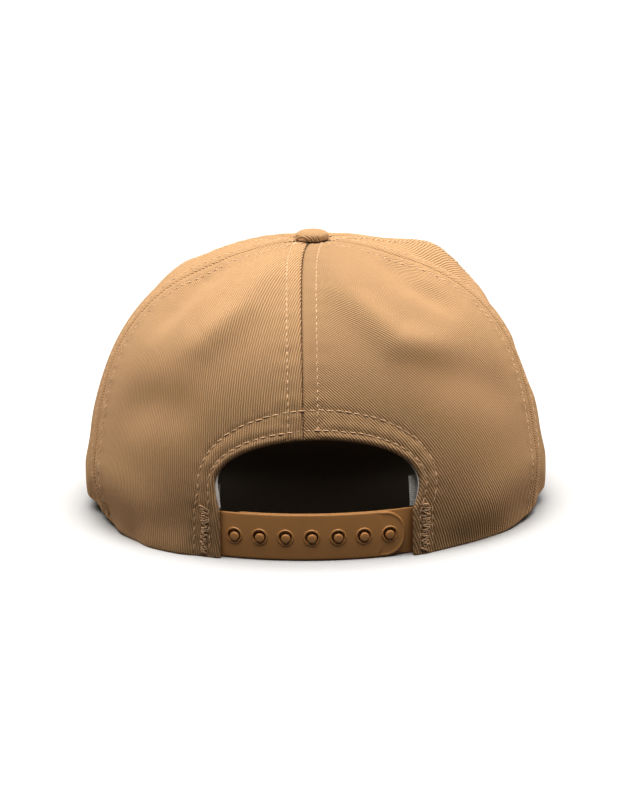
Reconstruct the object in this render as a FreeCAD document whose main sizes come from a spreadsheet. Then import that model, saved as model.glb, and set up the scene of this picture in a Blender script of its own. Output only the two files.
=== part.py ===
"""Baseball cap: a five-panel crown, a stitched visor, a covered button and a snap strap.

The frame: +Z is up, the visor points to -Y and the opening with its strap faces +Y.
The origin is the middle of the head opening, on the surface that the cap stands on.
Every size is in millimetres. The cloth pieces are thin closed shells, offset inwards from one
crown surface, so that the layers lie against each other as they are sewn.
"""
import FreeCAD, Part
import math
import os

import Sketcher

# ------------------------------------------------------------------ driving dimensions
DIMENSIONS = (
    ("rim_radius", 92.0, "mean plan radius of the crown at its rim"),
    ("rim_shift", -2.0, "how much further the rim reaches at the back than at the front, halved"),
    ("rim_oval", -3.3, "ovality of the rim: negative is wider across than front to back"),
    ("crown_height", 110.5, "height of the crown over the resting surface, without its peak"),
    ("crown_peak", 2.5, "how much the cloth rises further where the panels meet at the button"),
    ("peak_spread", 0.3, "part of the plan radius over which the peak falls away"),
    ("crown_square", 2.5, "exponent of the crown's profile: 2 is an ellipse, more is boxier"),
    ("crown_belly", 0.008, "relative swelling of the crown a little above its rim"),
    ("apex_shift", -4.0, "place of the crown's top along Y"),
    ("side_rise", 7.5, "height of the rim at the ears"),
    ("rise_start", 52.0, "angle from the back where the rim starts to rise, degrees"),
    ("rise_spread", 28.0, "angle over which the rim rises, degrees"),
    ("button_hole", 2.4, "plan radius at the top where the panels stop round the button's stem"),
    ("side_seam", 72.5, "angle of the side seams from the back at rim and top, degrees"),
    ("side_seam_bow", 10.5, "how far the side seams bow forwards half-way up, degrees"),
    ("front_seam", 126.0, "angle of the front seams from the back, degrees"),
    ("back_seam_x", 4.8, "sideways place of the back seam"),
    ("cloth_thick", 0.9, "thickness of a crown panel with its fold"),
    ("layer_gap", 0.05, "gap between sewn layers"),
    ("buckram_thick", 0.6, "thickness of the stiffener behind the front panel"),
    ("buckram_top", 66.0, "profile angle where the stiffener ends, degrees"),
    ("tape_width", 12.0, "width of the seam tapes"),
    ("tape_thick", 0.5, "thickness of the seam tapes"),
    ("tape_stop", 15.0, "plan radius where the seam tapes end below the button"),
    ("band_angle", 28.3, "angle from the back where the sweatband ends, degrees"),
    ("band_top", 15.6, "profile angle of the sweatband's upper edge, degrees"),
    ("band_thick", 1.2, "thickness of the sweatband"),
    ("backing_thick", 0.4, "thickness of the sweatband's backing"),
    ("backing_angle", 27.6, "angle from the back where the backing ends, degrees"),
    ("arch_half_width", 41.5, "half width of the arch over the strap"),
    ("arch_spring", 30.0, "height where the arch starts to close"),
    ("arch_rise", 19.8, "height of the arch over its spring line"),
    ("arch_centre_x", -0.5, "sideways place of the arch's middle"),
    ("slot_half_width", 39.2, "half width of the opening beside the strap"),
    ("slot_top", 19.5, "height where the opening starts to widen"),
    ("facing_width", 10.0, "width of the facing sewn round the arch"),
    ("facing_thick", 0.5, "thickness of the facing"),
    ("visor_reach", 70.0, "length of the visor from the crown to its tip"),
    ("visor_corner", 124.0, "angle from the back where the visor meets the crown, degrees"),
    ("visor_end", 3.0, "length of the visor's blunt corner"),
    ("visor_level", 20.62, "height of the visor's upper face carried back to the origin"),
    ("visor_slope", 0.084, "fall of the visor towards its tip"),
    ("visor_bend", 435.0, "radius of the visor's sideways curve"),
    ("visor_fan", 0.35, "how much the visor's threads spread to the sides"),
    ("board_thick", 1.8, "thickness of the board inside the visor"),
    ("board_inset", 1.4, "distance from the visor's edge to the board's edge"),
    ("visor_cloth", 0.6, "thickness of the visor's cloth covers"),
    ("button_radius", 7.0, "radius of the covered button"),
    ("button_rise", 3.3, "height of the covered button"),
    ("button_cloth", 0.5, "thickness of the button's cloth"),
    ("button_metal", 0.4, "thickness of the button's metal cap"),
    ("stem_radius", 1.1, "radius of the button's stem"),
    ("stem_drop", 3.7, "length of the stem below the crown's top"),
    ("washer_radius", 5.5, "radius of the washer that holds the stem"),
    ("washer_thick", 0.7, "thickness of the washer"),
    ("washer_drop", 2.4, "how far the washer's upper face lies below the crown's top"),
    ("strap_height", 19.0, "width of both straps, measured up"),
    ("strap_base", 0.3, "height of the straps' lower edge"),
    ("strap_radius", 105.0, "radius of the hole strap's outer face"),
    ("strap_centre_y", -20.2, "place of the straps' common centre along Y"),
    ("strap_thick", 1.2, "thickness of both straps"),
    ("stud_strap_radius", 103.5, "radius of the stud strap's outer face, clear of the other"),
    ("strap_pitch", 5.8, "angle from one stud to the next, degrees"),
    ("stud_count", 7, "studs on one strap and holes in the other"),
    ("first_stud", 18.5, "angle of the stud nearest the hole strap's root, degrees"),
    ("stud_radius", 1.85, "radius of a stud"),
    ("stud_proud", 0.9, "how far a stud stands over the hole strap"),
    ("hole_radius", 2.65, "radius of a hole"),
    ("ring_radius", 3.7, "outer radius of the raised ring round a hole"),
    ("ring_proud", 0.4, "height of the raised ring"),
    ("strap_tip", 20.0, "angle of the hole strap's tip beyond the middle, degrees"),
    ("stud_tip", 21.4, "angle of the stud strap's tip beyond the middle, degrees"),
    ("tip_round", 8.6, "corner radius of the straps' tips"),
    ("flex_x", 38.2, "sideways place where the straps bend at their roots"),
    ("tab_end_x", 48.0, "sideways place where the straps' sewn tabs end"),
    ("tab_gap", 0.3, "gap between a strap's rounded root and its sewn tab"),
    ("tack_near", 28.8, "angle from the back where a bar tack starts, degrees"),
    ("tack_far", 31.5, "angle from the back where a bar tack ends, degrees"),
    ("tack_proud", 0.45, "how far a bar tack stands over the cloth"),
    ("tack_top", 10.3, "profile angle of a bar tack's upper end, degrees"),
    ("label_near", 25.6, "angle from the back where the blank label ends, degrees"),
    ("label_far", 33.0, "angle from the back where the blank label starts, degrees"),
    ("label_low", 10.3, "profile angle of the blank label's lower edge, degrees"),
    ("label_high", 16.9, "profile angle of the blank label's upper edge, degrees"),
    ("label_depth", 4.2, "depth of the blank label under the crown's surface"),
    ("label_thick", 0.35, "thickness of the blank label"),
)

doc = FreeCAD.newDocument("baseball_cap")
sheet = doc.addObject("Spreadsheet::Sheet", "sizes")
for row, (alias, value, meaning) in enumerate(DIMENSIONS, start=1):
    sheet.set("A%d" % row, meaning)
    sheet.set("B%d" % row, str(value))
    sheet.setAlias("B%d" % row, alias)
doc.recompute()


def size(alias):
    """Value of a driving dimension."""
    return float(sheet.get(alias))


def angle(alias):
    """Value of a driving angle, in radians."""
    return math.radians(size(alias))


nodes = []


def keep(obj, label):
    """Name a finished sub-part and put it on the list of nodes to write."""
    obj.Label = label
    nodes.append(obj)
    return obj


# ------------------------------------------------------------------ the crown's surface
RIM_RADIUS = size("rim_radius")
RIM_SHIFT = size("rim_shift")
RIM_OVAL = size("rim_oval")
CROWN_HEIGHT = size("crown_height")
CROWN_SQUARE = size("crown_square")
CROWN_BELLY = size("crown_belly")
CROWN_PEAK = size("crown_peak")
PEAK_SPREAD = size("peak_spread")
APEX_SHIFT = size("apex_shift")
SIDE_RISE = size("side_rise")
RISE_START = angle("rise_start")
RISE_SPREAD = angle("rise_spread")
VISOR_LEVEL = size("visor_level")
VISOR_SLOPE = size("visor_slope")
VISOR_BEND = size("visor_bend")
LAYER_GAP = size("layer_gap")

BELLY_TOP = 0.5         # part of the height over which the crown swells
VISOR_RIM_FROM = math.radians(95.0)   # the rim runs over into the visor's surface from here
VISOR_RIM_FULL = math.radians(120.0)  # and follows it from here on
STEP = 1.0e-4           # step of the differences that give the surface's normal


def smooth(value):
    """Smooth step from 0 to 1 while value runs from 0 to 1."""
    held = min(max(value, 0.0), 1.0)
    return held * held * (3.0 - 2.0 * held)


def plan_radius(phi):
    """Plan radius of the rim at an angle from the back, which is +Y, towards +X."""
    return RIM_RADIUS + RIM_SHIFT * math.cos(phi) + RIM_OVAL * math.cos(2.0 * phi)


def visor_height(x, y):
    """Height of the visor's upper face."""
    return VISOR_LEVEL + VISOR_SLOPE * y - x * x / (2.0 * VISOR_BEND)


def rim_height(phi):
    """Height of the rim: flat at the back, raised at the ears, on the visor in front."""
    turn = abs(math.remainder(phi, 2.0 * math.pi))
    past = max(turn - RISE_START, 0.0) / RISE_SPREAD
    side = SIDE_RISE * (1.0 - math.exp(-past * past))
    radius = plan_radius(phi)
    front = visor_height(radius * math.sin(phi), radius * math.cos(phi)) + LAYER_GAP
    share = smooth((turn - VISOR_RIM_FROM) / (VISOR_RIM_FULL - VISOR_RIM_FROM))
    return side * (1.0 - share) + front * share


def profile(alpha):
    """Plan reach and rise, each 0 to 1, at a profile angle: 0 at the rim, 90 degrees on top."""
    cosine = math.cos(alpha)
    sine = math.sin(alpha)
    length = (cosine ** CROWN_SQUARE + sine ** CROWN_SQUARE) ** (-1.0 / CROWN_SQUARE)
    return length * cosine, length * sine


def skin_radius(phi, alpha):
    """Plan radius of the crown's outer surface."""
    reach, rise = profile(alpha)
    belly = 1.0 + CROWN_BELLY * math.sin(math.pi * min(rise / BELLY_TOP, 1.0)) ** 2
    return plan_radius(phi) * reach * belly


def skin_point(phi, alpha):
    """Point of the crown's outer surface."""
    reach, rise = profile(alpha)
    radius = skin_radius(phi, alpha)
    peak = CROWN_PEAK * math.exp(-(reach / PEAK_SPREAD) ** 2)
    height = rim_height(phi) * (1.0 - rise) + CROWN_HEIGHT * rise + peak
    return FreeCAD.Vector(radius * math.sin(phi),
                          radius * math.cos(phi) + APEX_SHIFT * (1.0 - reach),
                          height)


def crown_point(phi, alpha, depth):
    """Point at a depth under the crown's outer surface, measured along its normal."""
    point = skin_point(phi, alpha)
    across = skin_point(phi + STEP, alpha) - skin_point(phi - STEP, alpha)
    upwards = skin_point(phi, alpha + STEP) - point
    inwards = across.cross(upwards).normalize()
    return point + inwards * depth


def profile_angle_at(plan_reach):
    """Profile angle where the crown has a given plan radius, by halving."""
    low = 0.0
    high = 0.5 * math.pi
    for _ in range(50):
        middle = 0.5 * (low + high)
        if skin_radius(0.5 * math.pi, middle) > plan_reach:
            low = middle
        else:
            high = middle
    return low


TOP_ANGLE = profile_angle_at(size("button_hole"))
TAPE_TOP_ANGLE = profile_angle_at(size("tape_stop"))


def side_seam(alpha):
    """Angle of the side seam on the +X side."""
    return angle("side_seam") + angle("side_seam_bow") * math.sin(2.0 * alpha) ** 2


def front_seam(alpha):
    """Angle of the front seam on the +X side, the same at every height."""
    return angle("front_seam")


def back_seam(alpha):
    """Angle of the back seam, which lies a little to the +X side of the middle."""
    radius = skin_radius(0.0, alpha)
    settle = 20.0       # plan radius below which the seam runs in towards the top
    return math.asin(size("back_seam_x") * math.tanh(radius / settle) / radius)


# ------------------------------------------------------------------ closed thin shells
def thick_sheet(point_at, columns, rows, near, far):
    """Solid between two offset surfaces: point_at(u, v, depth) for u and v from 0 to 1."""
    surfaces = []
    for depth in (near, far):
        net = [[point_at(i / columns, j / rows, depth) for j in range(rows + 1)]
               for i in range(columns + 1)]
        surface = Part.BSplineSurface()
        surface.interpolate(net)
        surfaces.append(surface)
    faces = [surface.toShape() for surface in surfaces]
    outlines = []
    for surface in surfaces:
        u_low, u_high, v_low, v_high = surface.bounds()
        outlines.append((surface.uIso(u_low), surface.uIso(u_high),
                         surface.vIso(v_low), surface.vIso(v_high)))
    for outer, inner in zip(*outlines):
        faces.append(Part.makeRuledSurface(outer.toShape(), inner.toShape()))
    shell = Part.makeShell(faces)
    shell.sewShape()
    solid = Part.makeSolid(Part.Shell(shell.Faces))
    if solid.Volume < 0.0:
        solid.reverse()
    return solid


def shape_feature(name, shape):
    """Document object that holds a free-form shape."""
    feature = doc.addObject("Part::Feature", name)
    feature.Shape = shape
    feature.Placement = FreeCAD.Placement()
    return feature


def crown_patch(from_angle, to_angle, low, high, near, far, columns=20, rows=22):
    """Shell on the crown between two seam lines and two profile angles."""
    def point_at(u, v, depth):
        alpha = low + (high - low) * v
        start = from_angle(alpha)
        phi = start + (to_angle(alpha) - start) * u
        return crown_point(phi, alpha, depth)
    return thick_sheet(point_at, columns, rows, near, far)


def mirrored(seam):
    """The same seam line on the -X side."""
    def line(alpha):
        return -seam(alpha)
    return line


def full_turn(seam):
    """A seam line on the -X side, counted on past the front."""
    def line(alpha):
        return 2.0 * math.pi - seam(alpha)
    return line


# ------------------------------------------------------------------ crown panels
CLOTH = size("cloth_thick")


def arch_outline(grow):
    """Closed outline of the rear opening in X and Z, grown outwards by a margin."""
    centre_x = size("arch_centre_x")
    spring = size("arch_spring")
    half = size("arch_half_width") + grow
    rise = size("arch_rise") + grow
    slot = size("slot_half_width") + grow
    slot_top = size("slot_top")
    foot = -10.0

    def corner(x, z):
        return FreeCAD.Vector(x, 0.0, z)
    crest = Part.Ellipse(corner(centre_x + half, spring), corner(centre_x, spring + rise),
                         corner(centre_x, spring))
    over = Part.ArcOfEllipse(crest, 0.0, math.pi)
    right = corner(centre_x + half, spring)
    left = corner(centre_x - half, spring)
    bulge = 0.72        # how soon the side turns upright between the slot and the arch

    def side(start, end):
        middle = corner(start.x + (end.x - start.x) * bulge, 0.5 * (start.z + end.z))
        return Part.Arc(start, middle, end).toShape()
    right_slot = corner(slot, slot_top)
    left_slot = corner(-slot, slot_top)
    right_foot = corner(slot, foot)
    left_foot = corner(-slot, foot)
    edges = [over.toShape(), side(right_slot, right), side(left_slot, left),
             Part.makeLine(right_foot, right_slot), Part.makeLine(left_foot, left_slot),
             Part.makeLine(left_foot, right_foot)]
    return Part.Wire(Part.__sortEdges__(edges))


def arch_block(name, grow):
    """Block with the outline of the rear opening, through the back of the crown."""
    start = 45.0
    length = 60.0
    face = Part.Face(arch_outline(grow))
    face.translate(FreeCAD.Vector(0.0, start, 0.0))
    return shape_feature(name, face.extrude(FreeCAD.Vector(0.0, length, 0.0)))


def cut(name, base, tool):
    """Boolean difference of two document objects."""
    feature = doc.addObject("Part::Cut", name)
    feature.Base = base
    feature.Tool = tool
    return feature


def common(name, base, tool):
    """Boolean intersection of two document objects."""
    feature = doc.addObject("Part::Common", name)
    feature.Base = base
    feature.Tool = tool
    return feature


def make_panels():
    """Front panel, two side panels and two back panels with the rear opening cut out."""
    def panel(name, start, end, columns):
        return shape_feature(name, crown_patch(start, end, 0.0, TOP_ANGLE, 0.0, CLOTH, columns))
    keep(panel("front_cloth", front_seam, full_turn(front_seam), 28), "front_panel")
    keep(panel("side_cloth_left", side_seam, front_seam, 16), "side_panel_left")
    keep(panel("side_cloth_right", mirrored(front_seam), mirrored(side_seam), 16),
         "side_panel_right")
    opening = arch_block("opening_block", 0.0)
    left = panel("back_cloth_left", back_seam, side_seam, 20)
    right = panel("back_cloth_right", mirrored(side_seam), back_seam, 20)
    keep(cut("back_cut_left", left, opening), "back_panel_left")
    keep(cut("back_cut_right", right, opening), "back_panel_right")
    return opening


# ------------------------------------------------------------------ linings inside the crown
def make_buckram():
    """Open-weave stiffener behind the front panel."""
    near = CLOTH + LAYER_GAP
    margin = 0.5 * size("tape_width") + 1.0

    def edge(alpha):
        return front_seam(alpha) + margin / skin_radius(front_seam(alpha), alpha)
    low = math.radians(1.0)
    shape = crown_patch(edge, full_turn(edge), low, angle("buckram_top"),
                        near, near + size("buckram_thick"), 28, 16)
    keep(shape_feature("buckram", shape), "front_buckram")


def make_tape(label, seam, low, flip):
    """Tape sewn over the inside of a seam."""
    near = CLOTH + LAYER_GAP
    half = 0.5 * size("tape_width")

    def edge(side):
        def line(alpha):
            phi = seam(alpha)
            return flip * phi + side * half / skin_radius(phi, alpha)
        return line
    shape = crown_patch(edge(-1.0), edge(1.0), low, TAPE_TOP_ANGLE,
                        near, near + size("tape_thick"), 4, 24)
    keep(shape_feature(label + "_shell", shape), label)


def make_tapes():
    """Five seam tapes. The back one starts above the facing of the opening."""
    rim = math.radians(1.0)
    above_arch = math.radians(32.5)
    make_tape("seam_tape_back", back_seam, above_arch, 1.0)
    make_tape("seam_tape_side_left", side_seam, rim, 1.0)
    make_tape("seam_tape_side_right", side_seam, rim, -1.0)
    make_tape("seam_tape_front_left", front_seam, rim, 1.0)
    make_tape("seam_tape_front_right", front_seam, rim, -1.0)


def make_facing(opening):
    """Facing tape sewn round the inside of the arch, above the straps' tabs."""
    near = CLOTH + LAYER_GAP
    reach = math.radians(40.0)
    low = math.radians(10.8)
    high = math.radians(36.0)
    shape = crown_patch(lambda alpha: -reach, lambda alpha: reach, low, high,
                        near, near + size("facing_thick"), 24, 10)
    patch = shape_feature("facing_patch", shape)
    outer = common("facing_outer", patch, arch_block("facing_block", size("facing_width")))
    keep(cut("facing_ring", outer, opening), "opening_facing")


def band_depth(phi):
    """Depth of the sweatband's backing: deeper beside the opening, behind the straps' tabs."""
    turn = abs(math.remainder(phi, 2.0 * math.pi))
    plain = 1.75
    tucked = 4.7
    blend_from = math.radians(38.0)
    blend_over = math.radians(17.0)
    return tucked + (plain - tucked) * smooth((turn - blend_from) / blend_over)


def band_shell(end, low, high, near, far):
    """Strip that runs round the inside of the rim from one side of the opening to the other."""
    def point_at(u, v, depth):
        phi = end + (2.0 * math.pi - 2.0 * end) * u
        return crown_point(phi, low + (high - low) * v, band_depth(phi) + depth)
    return thick_sheet(point_at, 72, 5, near, far)


def make_sweatband():
    """Sweatband with the pale backing strip between it and the crown."""
    backing = size("backing_thick")
    top = angle("band_top")
    low = math.radians(0.6)
    keep(shape_feature("backing_strip",
                       band_shell(angle("backing_angle"), low, top, 0.0, backing)),
         "sweatband_backing")
    near = backing + 3.0 * LAYER_GAP
    keep(shape_feature("band_strip",
                       band_shell(angle("band_angle"), low, top, near, near + size("band_thick"))),
         "sweatband")


def make_label():
    """Blank label that shows beside the strap, sewn on the outside of the backing."""
    near = size("label_depth")
    shape = crown_patch(lambda alpha: -angle("label_far"), lambda alpha: -angle("label_near"),
                        angle("label_low"), angle("label_high"),
                        near, near + size("label_thick"), 4, 4)
    keep(shape_feature("label_strip", shape), "blank_label")


def make_bar_tacks():
    """Dense thread bars that hold the straps' tabs at both sides of the opening."""
    low = math.radians(0.2)
    lift = 0.03         # air between the cloth and the thread
    for label, side in (("bar_tack_left", 1.0), ("bar_tack_right", -1.0)):
        shape = crown_patch(lambda alpha: side * angle("tack_near"),
                            lambda alpha: side * angle("tack_far"),
                            low, angle("tack_top"), -lift, -lift - size("tack_proud"), 3, 6)
        keep(shape_feature(label + "_thread", shape), label)


# ------------------------------------------------------------------ visor
def visor_root(u):
    """Point on the crown's rim where a thread of the visor starts, u from -1 to 1."""
    phi = math.pi + (math.pi - angle("visor_corner")) * u
    tuck = CLOTH        # the visor reaches under the panel's lower edge
    radius = plan_radius(phi) - tuck
    return phi, radius * math.sin(phi), radius * math.cos(phi)


def visor_point(u, v, inset):
    """Plan point of the visor: u across, v from the crown to the edge."""
    phi, root_x, root_y = visor_root(u)
    swing = math.pi + (phi - math.pi) * size("visor_fan")
    end = size("visor_end")
    reach = end + (size("visor_reach") - end) * math.sqrt(max(1.0 - u ** 4, 0.0)) - inset * v
    return root_x + reach * v * math.sin(swing), root_y + reach * v * math.cos(swing)


def visor_layer(upper, lower, inset):
    """Layer of the visor between two depths under its upper face."""
    half_span = 80.0    # half the visor's width, over which a side inset is shared
    narrow = 1.0 - inset / half_span

    def point_at(u, v, depth):
        across = narrow * math.sin(0.5 * math.pi * (2.0 * u - 1.0))
        x, y = visor_point(across, v, inset)
        return FreeCAD.Vector(x, y, visor_height(x, y) - depth)
    return thick_sheet(point_at, 40, 8, upper, lower)


def make_visor():
    """Board with a cloth cover on each face."""
    cover = size("visor_cloth")
    board = size("board_thick")
    board_near = cover + LAYER_GAP
    under_near = board_near + board + LAYER_GAP
    keep(shape_feature("visor_upper", visor_layer(0.0, cover, 0.0)), "visor_top_cloth")
    keep(shape_feature("visor_core", visor_layer(board_near, board_near + board,
                                                 size("board_inset"))), "visor_board")
    keep(shape_feature("visor_lower", visor_layer(under_near, under_near + cover, 0.0)),
         "visor_under_cloth")


# ------------------------------------------------------------------ button
def bound(kind, name, **expressions):
    """Primitive whose properties follow the sheet."""
    obj = doc.addObject("Part::" + kind, name)
    for prop, expression in expressions.items():
        obj.setExpression(prop, expression)
    return obj


def on_top(obj, height):
    """Put an object on the crown's axis, at a height given as an expression."""
    obj.setExpression("Placement.Base.y", "sizes.apex_shift")
    obj.setExpression("Placement.Base.z", "sizes.crown_height + sizes.crown_peak + " + height)


def dome(name, radius, rise):
    """Upper half of a flattened ball."""
    ball = bound("Ellipsoid", name, Radius1=rise, Radius2=radius, Radius3=radius)
    ball.Angle1 = 0.0
    on_top(ball, "sizes.layer_gap")
    return ball


def make_button():
    """Cloth cover, metal cap, stem and washer of the button on top of the crown."""
    inner_radius = "sizes.button_radius - sizes.button_cloth"
    inner_rise = "sizes.button_rise - sizes.button_cloth"
    gap = " - sizes.layer_gap"
    metal = " - sizes.button_metal"
    keep(cut("cover_shell", dome("cover_outer", "sizes.button_radius", "sizes.button_rise"),
             dome("cover_inner", inner_radius, inner_rise)), "button_cover")
    keep(cut("cap_shell", dome("cap_outer", inner_radius + gap, inner_rise + gap),
             dome("cap_inner", inner_radius + gap + metal, inner_rise + gap + metal)),
         "button_cap")
    stem = bound("Cylinder", "stem_post", Radius="sizes.stem_radius",
                 Height="sizes.stem_drop + " + inner_rise + gap + metal + gap)
    on_top(stem, "0 - sizes.stem_drop")
    head = bound("Cylinder", "stem_head", Radius="2 * sizes.stem_radius",
                 Height="sizes.button_metal")
    on_top(head, "0 - sizes.stem_drop")
    riveted = doc.addObject("Part::Fuse", "stem_with_head")
    riveted.Base = stem
    riveted.Tool = head
    keep(riveted, "button_stem")
    disc = bound("Cylinder", "washer_disc", Radius="sizes.washer_radius",
                 Height="sizes.washer_thick")
    on_top(disc, "0 - sizes.washer_drop - sizes.washer_thick")
    eye = bound("Cylinder", "washer_eye", Radius="sizes.stem_radius + sizes.layer_gap",
                Height="3 * sizes.washer_thick")
    on_top(eye, "0 - sizes.washer_drop - 2 * sizes.washer_thick")
    keep(cut("washer_ring", disc, eye), "button_washer")


# ------------------------------------------------------------------ snap strap
def origin_plane(body, role):
    """Origin plane or axis of a body."""
    return next(item for item in body.Origin.OriginFeatures if item.Role == role)


def sketch_on(body, name, role, offset):
    """Empty sketch on a plane parallel to one of the body's origin planes."""
    sketch = body.newObject("Sketcher::SketchObject", name)
    sketch.AttachmentSupport = (origin_plane(body, role), [""])
    sketch.MapMode = "FlatFace"
    sketch.AttachmentOffset = FreeCAD.Placement(FreeCAD.Vector(0.0, 0.0, offset),
                                                FreeCAD.Rotation())
    return sketch


def plan_sketch(body, name, outer, root_turn, tip_turn):
    """Plan of a strap: two arcs about the origin, a rounded root and a square tip."""
    sketch = sketch_on(body, name, "XY_Plane", 0.0)
    thick = size("strap_thick")
    origin = FreeCAD.Vector()
    upright = FreeCAD.Vector(0.0, 0.0, 1.0)
    first, last = sorted((root_turn, tip_turn))
    at_first, at_last = 1, 2        # vertex numbers of an arc's start and end
    centre = 3                      # vertex number of an arc's centre
    radii = (size(outer), size(outer) - thick)
    far, near = [sketch.addGeometry(Part.ArcOfCircle(Part.Circle(origin, upright, radius),
                                                     first, last)) for radius in radii]
    root_point, tip_point = (at_first, at_last) if root_turn < tip_turn else (at_last, at_first)
    middle = 0.5 * sum(radii)
    flex = FreeCAD.Vector(middle * math.cos(root_turn), middle * math.sin(root_turn), 0.0)
    knuckle = Part.Circle(flex, upright, 0.5 * thick)
    if root_turn < tip_turn:
        root = sketch.addGeometry(Part.ArcOfCircle(knuckle, root_turn + math.pi,
                                                   root_turn + 2.0 * math.pi))
        inner_end, outer_end = at_first, at_last
    else:
        root = sketch.addGeometry(Part.ArcOfCircle(knuckle, root_turn, root_turn + math.pi))
        inner_end, outer_end = at_last, at_first
    tip_ends = [FreeCAD.Vector(radius * math.cos(tip_turn), radius * math.sin(tip_turn), 0.0)
                for radius in radii]
    tip = sketch.addGeometry(Part.LineSegment(*tip_ends))
    origin_vertex = (-1, 1)
    for arc in (far, near):
        sketch.addConstraint(Sketcher.Constraint("Coincident", arc, centre, *origin_vertex))
    joins = ((far, root_point, root, outer_end), (near, root_point, root, inner_end),
             (far, tip_point, tip, 1), (near, tip_point, tip, 2))
    for join in joins:
        sketch.addConstraint(Sketcher.Constraint("Coincident", *join))
    for arc, reading, radius in ((far, "sizes." + outer, radii[0]),
                                 (near, "sizes." + outer + " - sizes.strap_thick", radii[1])):
        index = sketch.addConstraint(Sketcher.Constraint("Radius", arc, radius))
        sketch.setExpression("Constraints[%d]" % index, reading)
    return sketch


def strap_band(label, outer, root_turn, tip_turn):
    """Body with the curved band of a strap, rounded at its tip and at its flexing root."""
    body = doc.addObject("PartDesign::Body", label + "_body")
    plan = plan_sketch(body, label + "_plan", outer, root_turn, tip_turn)
    band = body.newObject("PartDesign::Pad", label + "_band")
    band.Profile = plan
    band.setExpression("Length", "sizes.strap_height")
    doc.recompute()
    tip_edges = []
    for number, edge in enumerate(band.Shape.Edges, start=1):
        if edge.Curve.TypeId == "Part::GeomLine" and edge.Length < 2.0 * size("strap_thick"):
            tip_edges.append("Edge%d" % number)
    rounding = body.newObject("PartDesign::Fillet", label + "_tip")
    rounding.Base = (band, tip_edges)
    rounding.setExpression("Radius", "sizes.tip_round")
    doc.recompute()
    return body


def ring_sketch(body, name, offset, radius):
    """Circle at half the strap's height, on a plane across the strap's middle radius."""
    sketch = sketch_on(body, name, "XZ_Plane", -offset)
    middle = FreeCAD.Vector(0.0, 0.5 * size("strap_height"), 0.0)
    circle = sketch.addGeometry(Part.Circle(middle, FreeCAD.Vector(0.0, 0.0, 1.0), size(radius)))
    index = sketch.addConstraint(Sketcher.Constraint("Radius", circle, size(radius)))
    sketch.setExpression("Constraints[%d]" % index, "sizes." + radius)
    return sketch


def stud_row(body, features, name):
    """Repeat features round the strap's centre, one for each stud."""
    row = body.newObject("PartDesign::PolarPattern", name)
    row.Originals = features
    row.Axis = (origin_plane(body, "Z_Axis"), [""])
    row.setExpression("Angle", "sizes.strap_pitch * (sizes.stud_count - 1)")
    row.setExpression("Occurrences", "sizes.stud_count")
    body.Tip = row
    doc.recompute()


def place_strap(body):
    """Turn a strap so that its own +Y lies at the first stud, and put it on its centre."""
    body.Placement = FreeCAD.Placement(
        FreeCAD.Vector(0.0, size("strap_centre_y"), size("strap_base")),
        FreeCAD.Rotation(FreeCAD.Vector(0.0, 0.0, 1.0), -size("first_stud")))


def flex_turn(outer):
    """Angle from the middle to the line where a strap bends, at its middle thickness."""
    return math.asin(size("flex_x") / (size(outer) - 0.5 * size("strap_thick")))


def local_turn(turn_from_back):
    """Angle in a strap's own plan, from an angle from the back towards +X."""
    return 0.5 * math.pi - turn_from_back + angle("first_stud")


def make_hole_strap():
    """Strap with seven ringed holes, which lies outside and is sewn in on the +X side."""
    outer = "strap_radius"
    body = strap_band("hole_strap", outer, local_turn(flex_turn(outer)),
                      local_turn(-angle("strap_tip")))
    inner = size(outer) - size("strap_thick")
    bury = 0.3
    solid_before = body.Shape.Volume
    ring = body.newObject("PartDesign::Pad", "hole_ring")
    ring.Profile = ring_sketch(body, "ring_outline", inner + bury, "ring_radius")
    ring.setExpression("Length", "sizes.strap_thick + sizes.ring_proud - %s" % bury)
    ring.Reversed = True
    doc.recompute()
    with_ring = body.Shape.Volume
    hole = body.newObject("PartDesign::Pocket", "hole")
    hole.Profile = ring_sketch(body, "hole_outline", inner - 1.0, "hole_radius")
    hole.setExpression("Length", "sizes.strap_thick + sizes.ring_proud + 2")
    doc.recompute()
    if not with_ring > solid_before > body.Shape.Volume:
        raise ValueError("the ring adds nothing, or the hole cuts nothing")
    stud_row(body, [ring, hole], "hole_row")
    place_strap(body)
    keep(body, "hole_strap")


def make_stud_strap():
    """Strap with seven round-topped studs, which lies inside and is sewn in on the -X side."""
    outer = "stud_strap_radius"
    body = strap_band("stud_strap", outer, local_turn(-flex_turn(outer)),
                      local_turn(angle("stud_tip")))
    sketch = sketch_on(body, "stud_outline", "XY_Plane", 0.5 * size("strap_height"))
    radius = size("stud_radius")
    foot = size(outer) - 0.5 * size("strap_thick")
    top = size("strap_radius") + size("stud_proud")
    rounding = 0.6

    def point(x, y):
        return FreeCAD.Vector(x, y, 0.0)
    crown = Part.Arc(point(radius, top - rounding),
                     point(radius - rounding * (1.0 - math.sqrt(0.5)),
                           top - rounding * (1.0 - math.sqrt(0.5))),
                     point(radius - rounding, top))
    outline = (Part.LineSegment(point(0.0, foot), point(radius, foot)),
               Part.LineSegment(point(radius, foot), point(radius, top - rounding)),
               crown,
               Part.LineSegment(point(radius - rounding, top), point(0.0, top)),
               Part.LineSegment(point(0.0, top), point(0.0, foot)))
    for piece in outline:
        sketch.addGeometry(piece)
    stud = body.newObject("PartDesign::Revolution", "stud")
    stud.Profile = sketch
    stud.ReferenceAxis = (sketch, ["V_Axis"])
    stud.Angle = 360.0
    doc.recompute()
    stud_row(body, [stud], "stud_row")
    place_strap(body)
    keep(body, "stud_strap")


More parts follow.
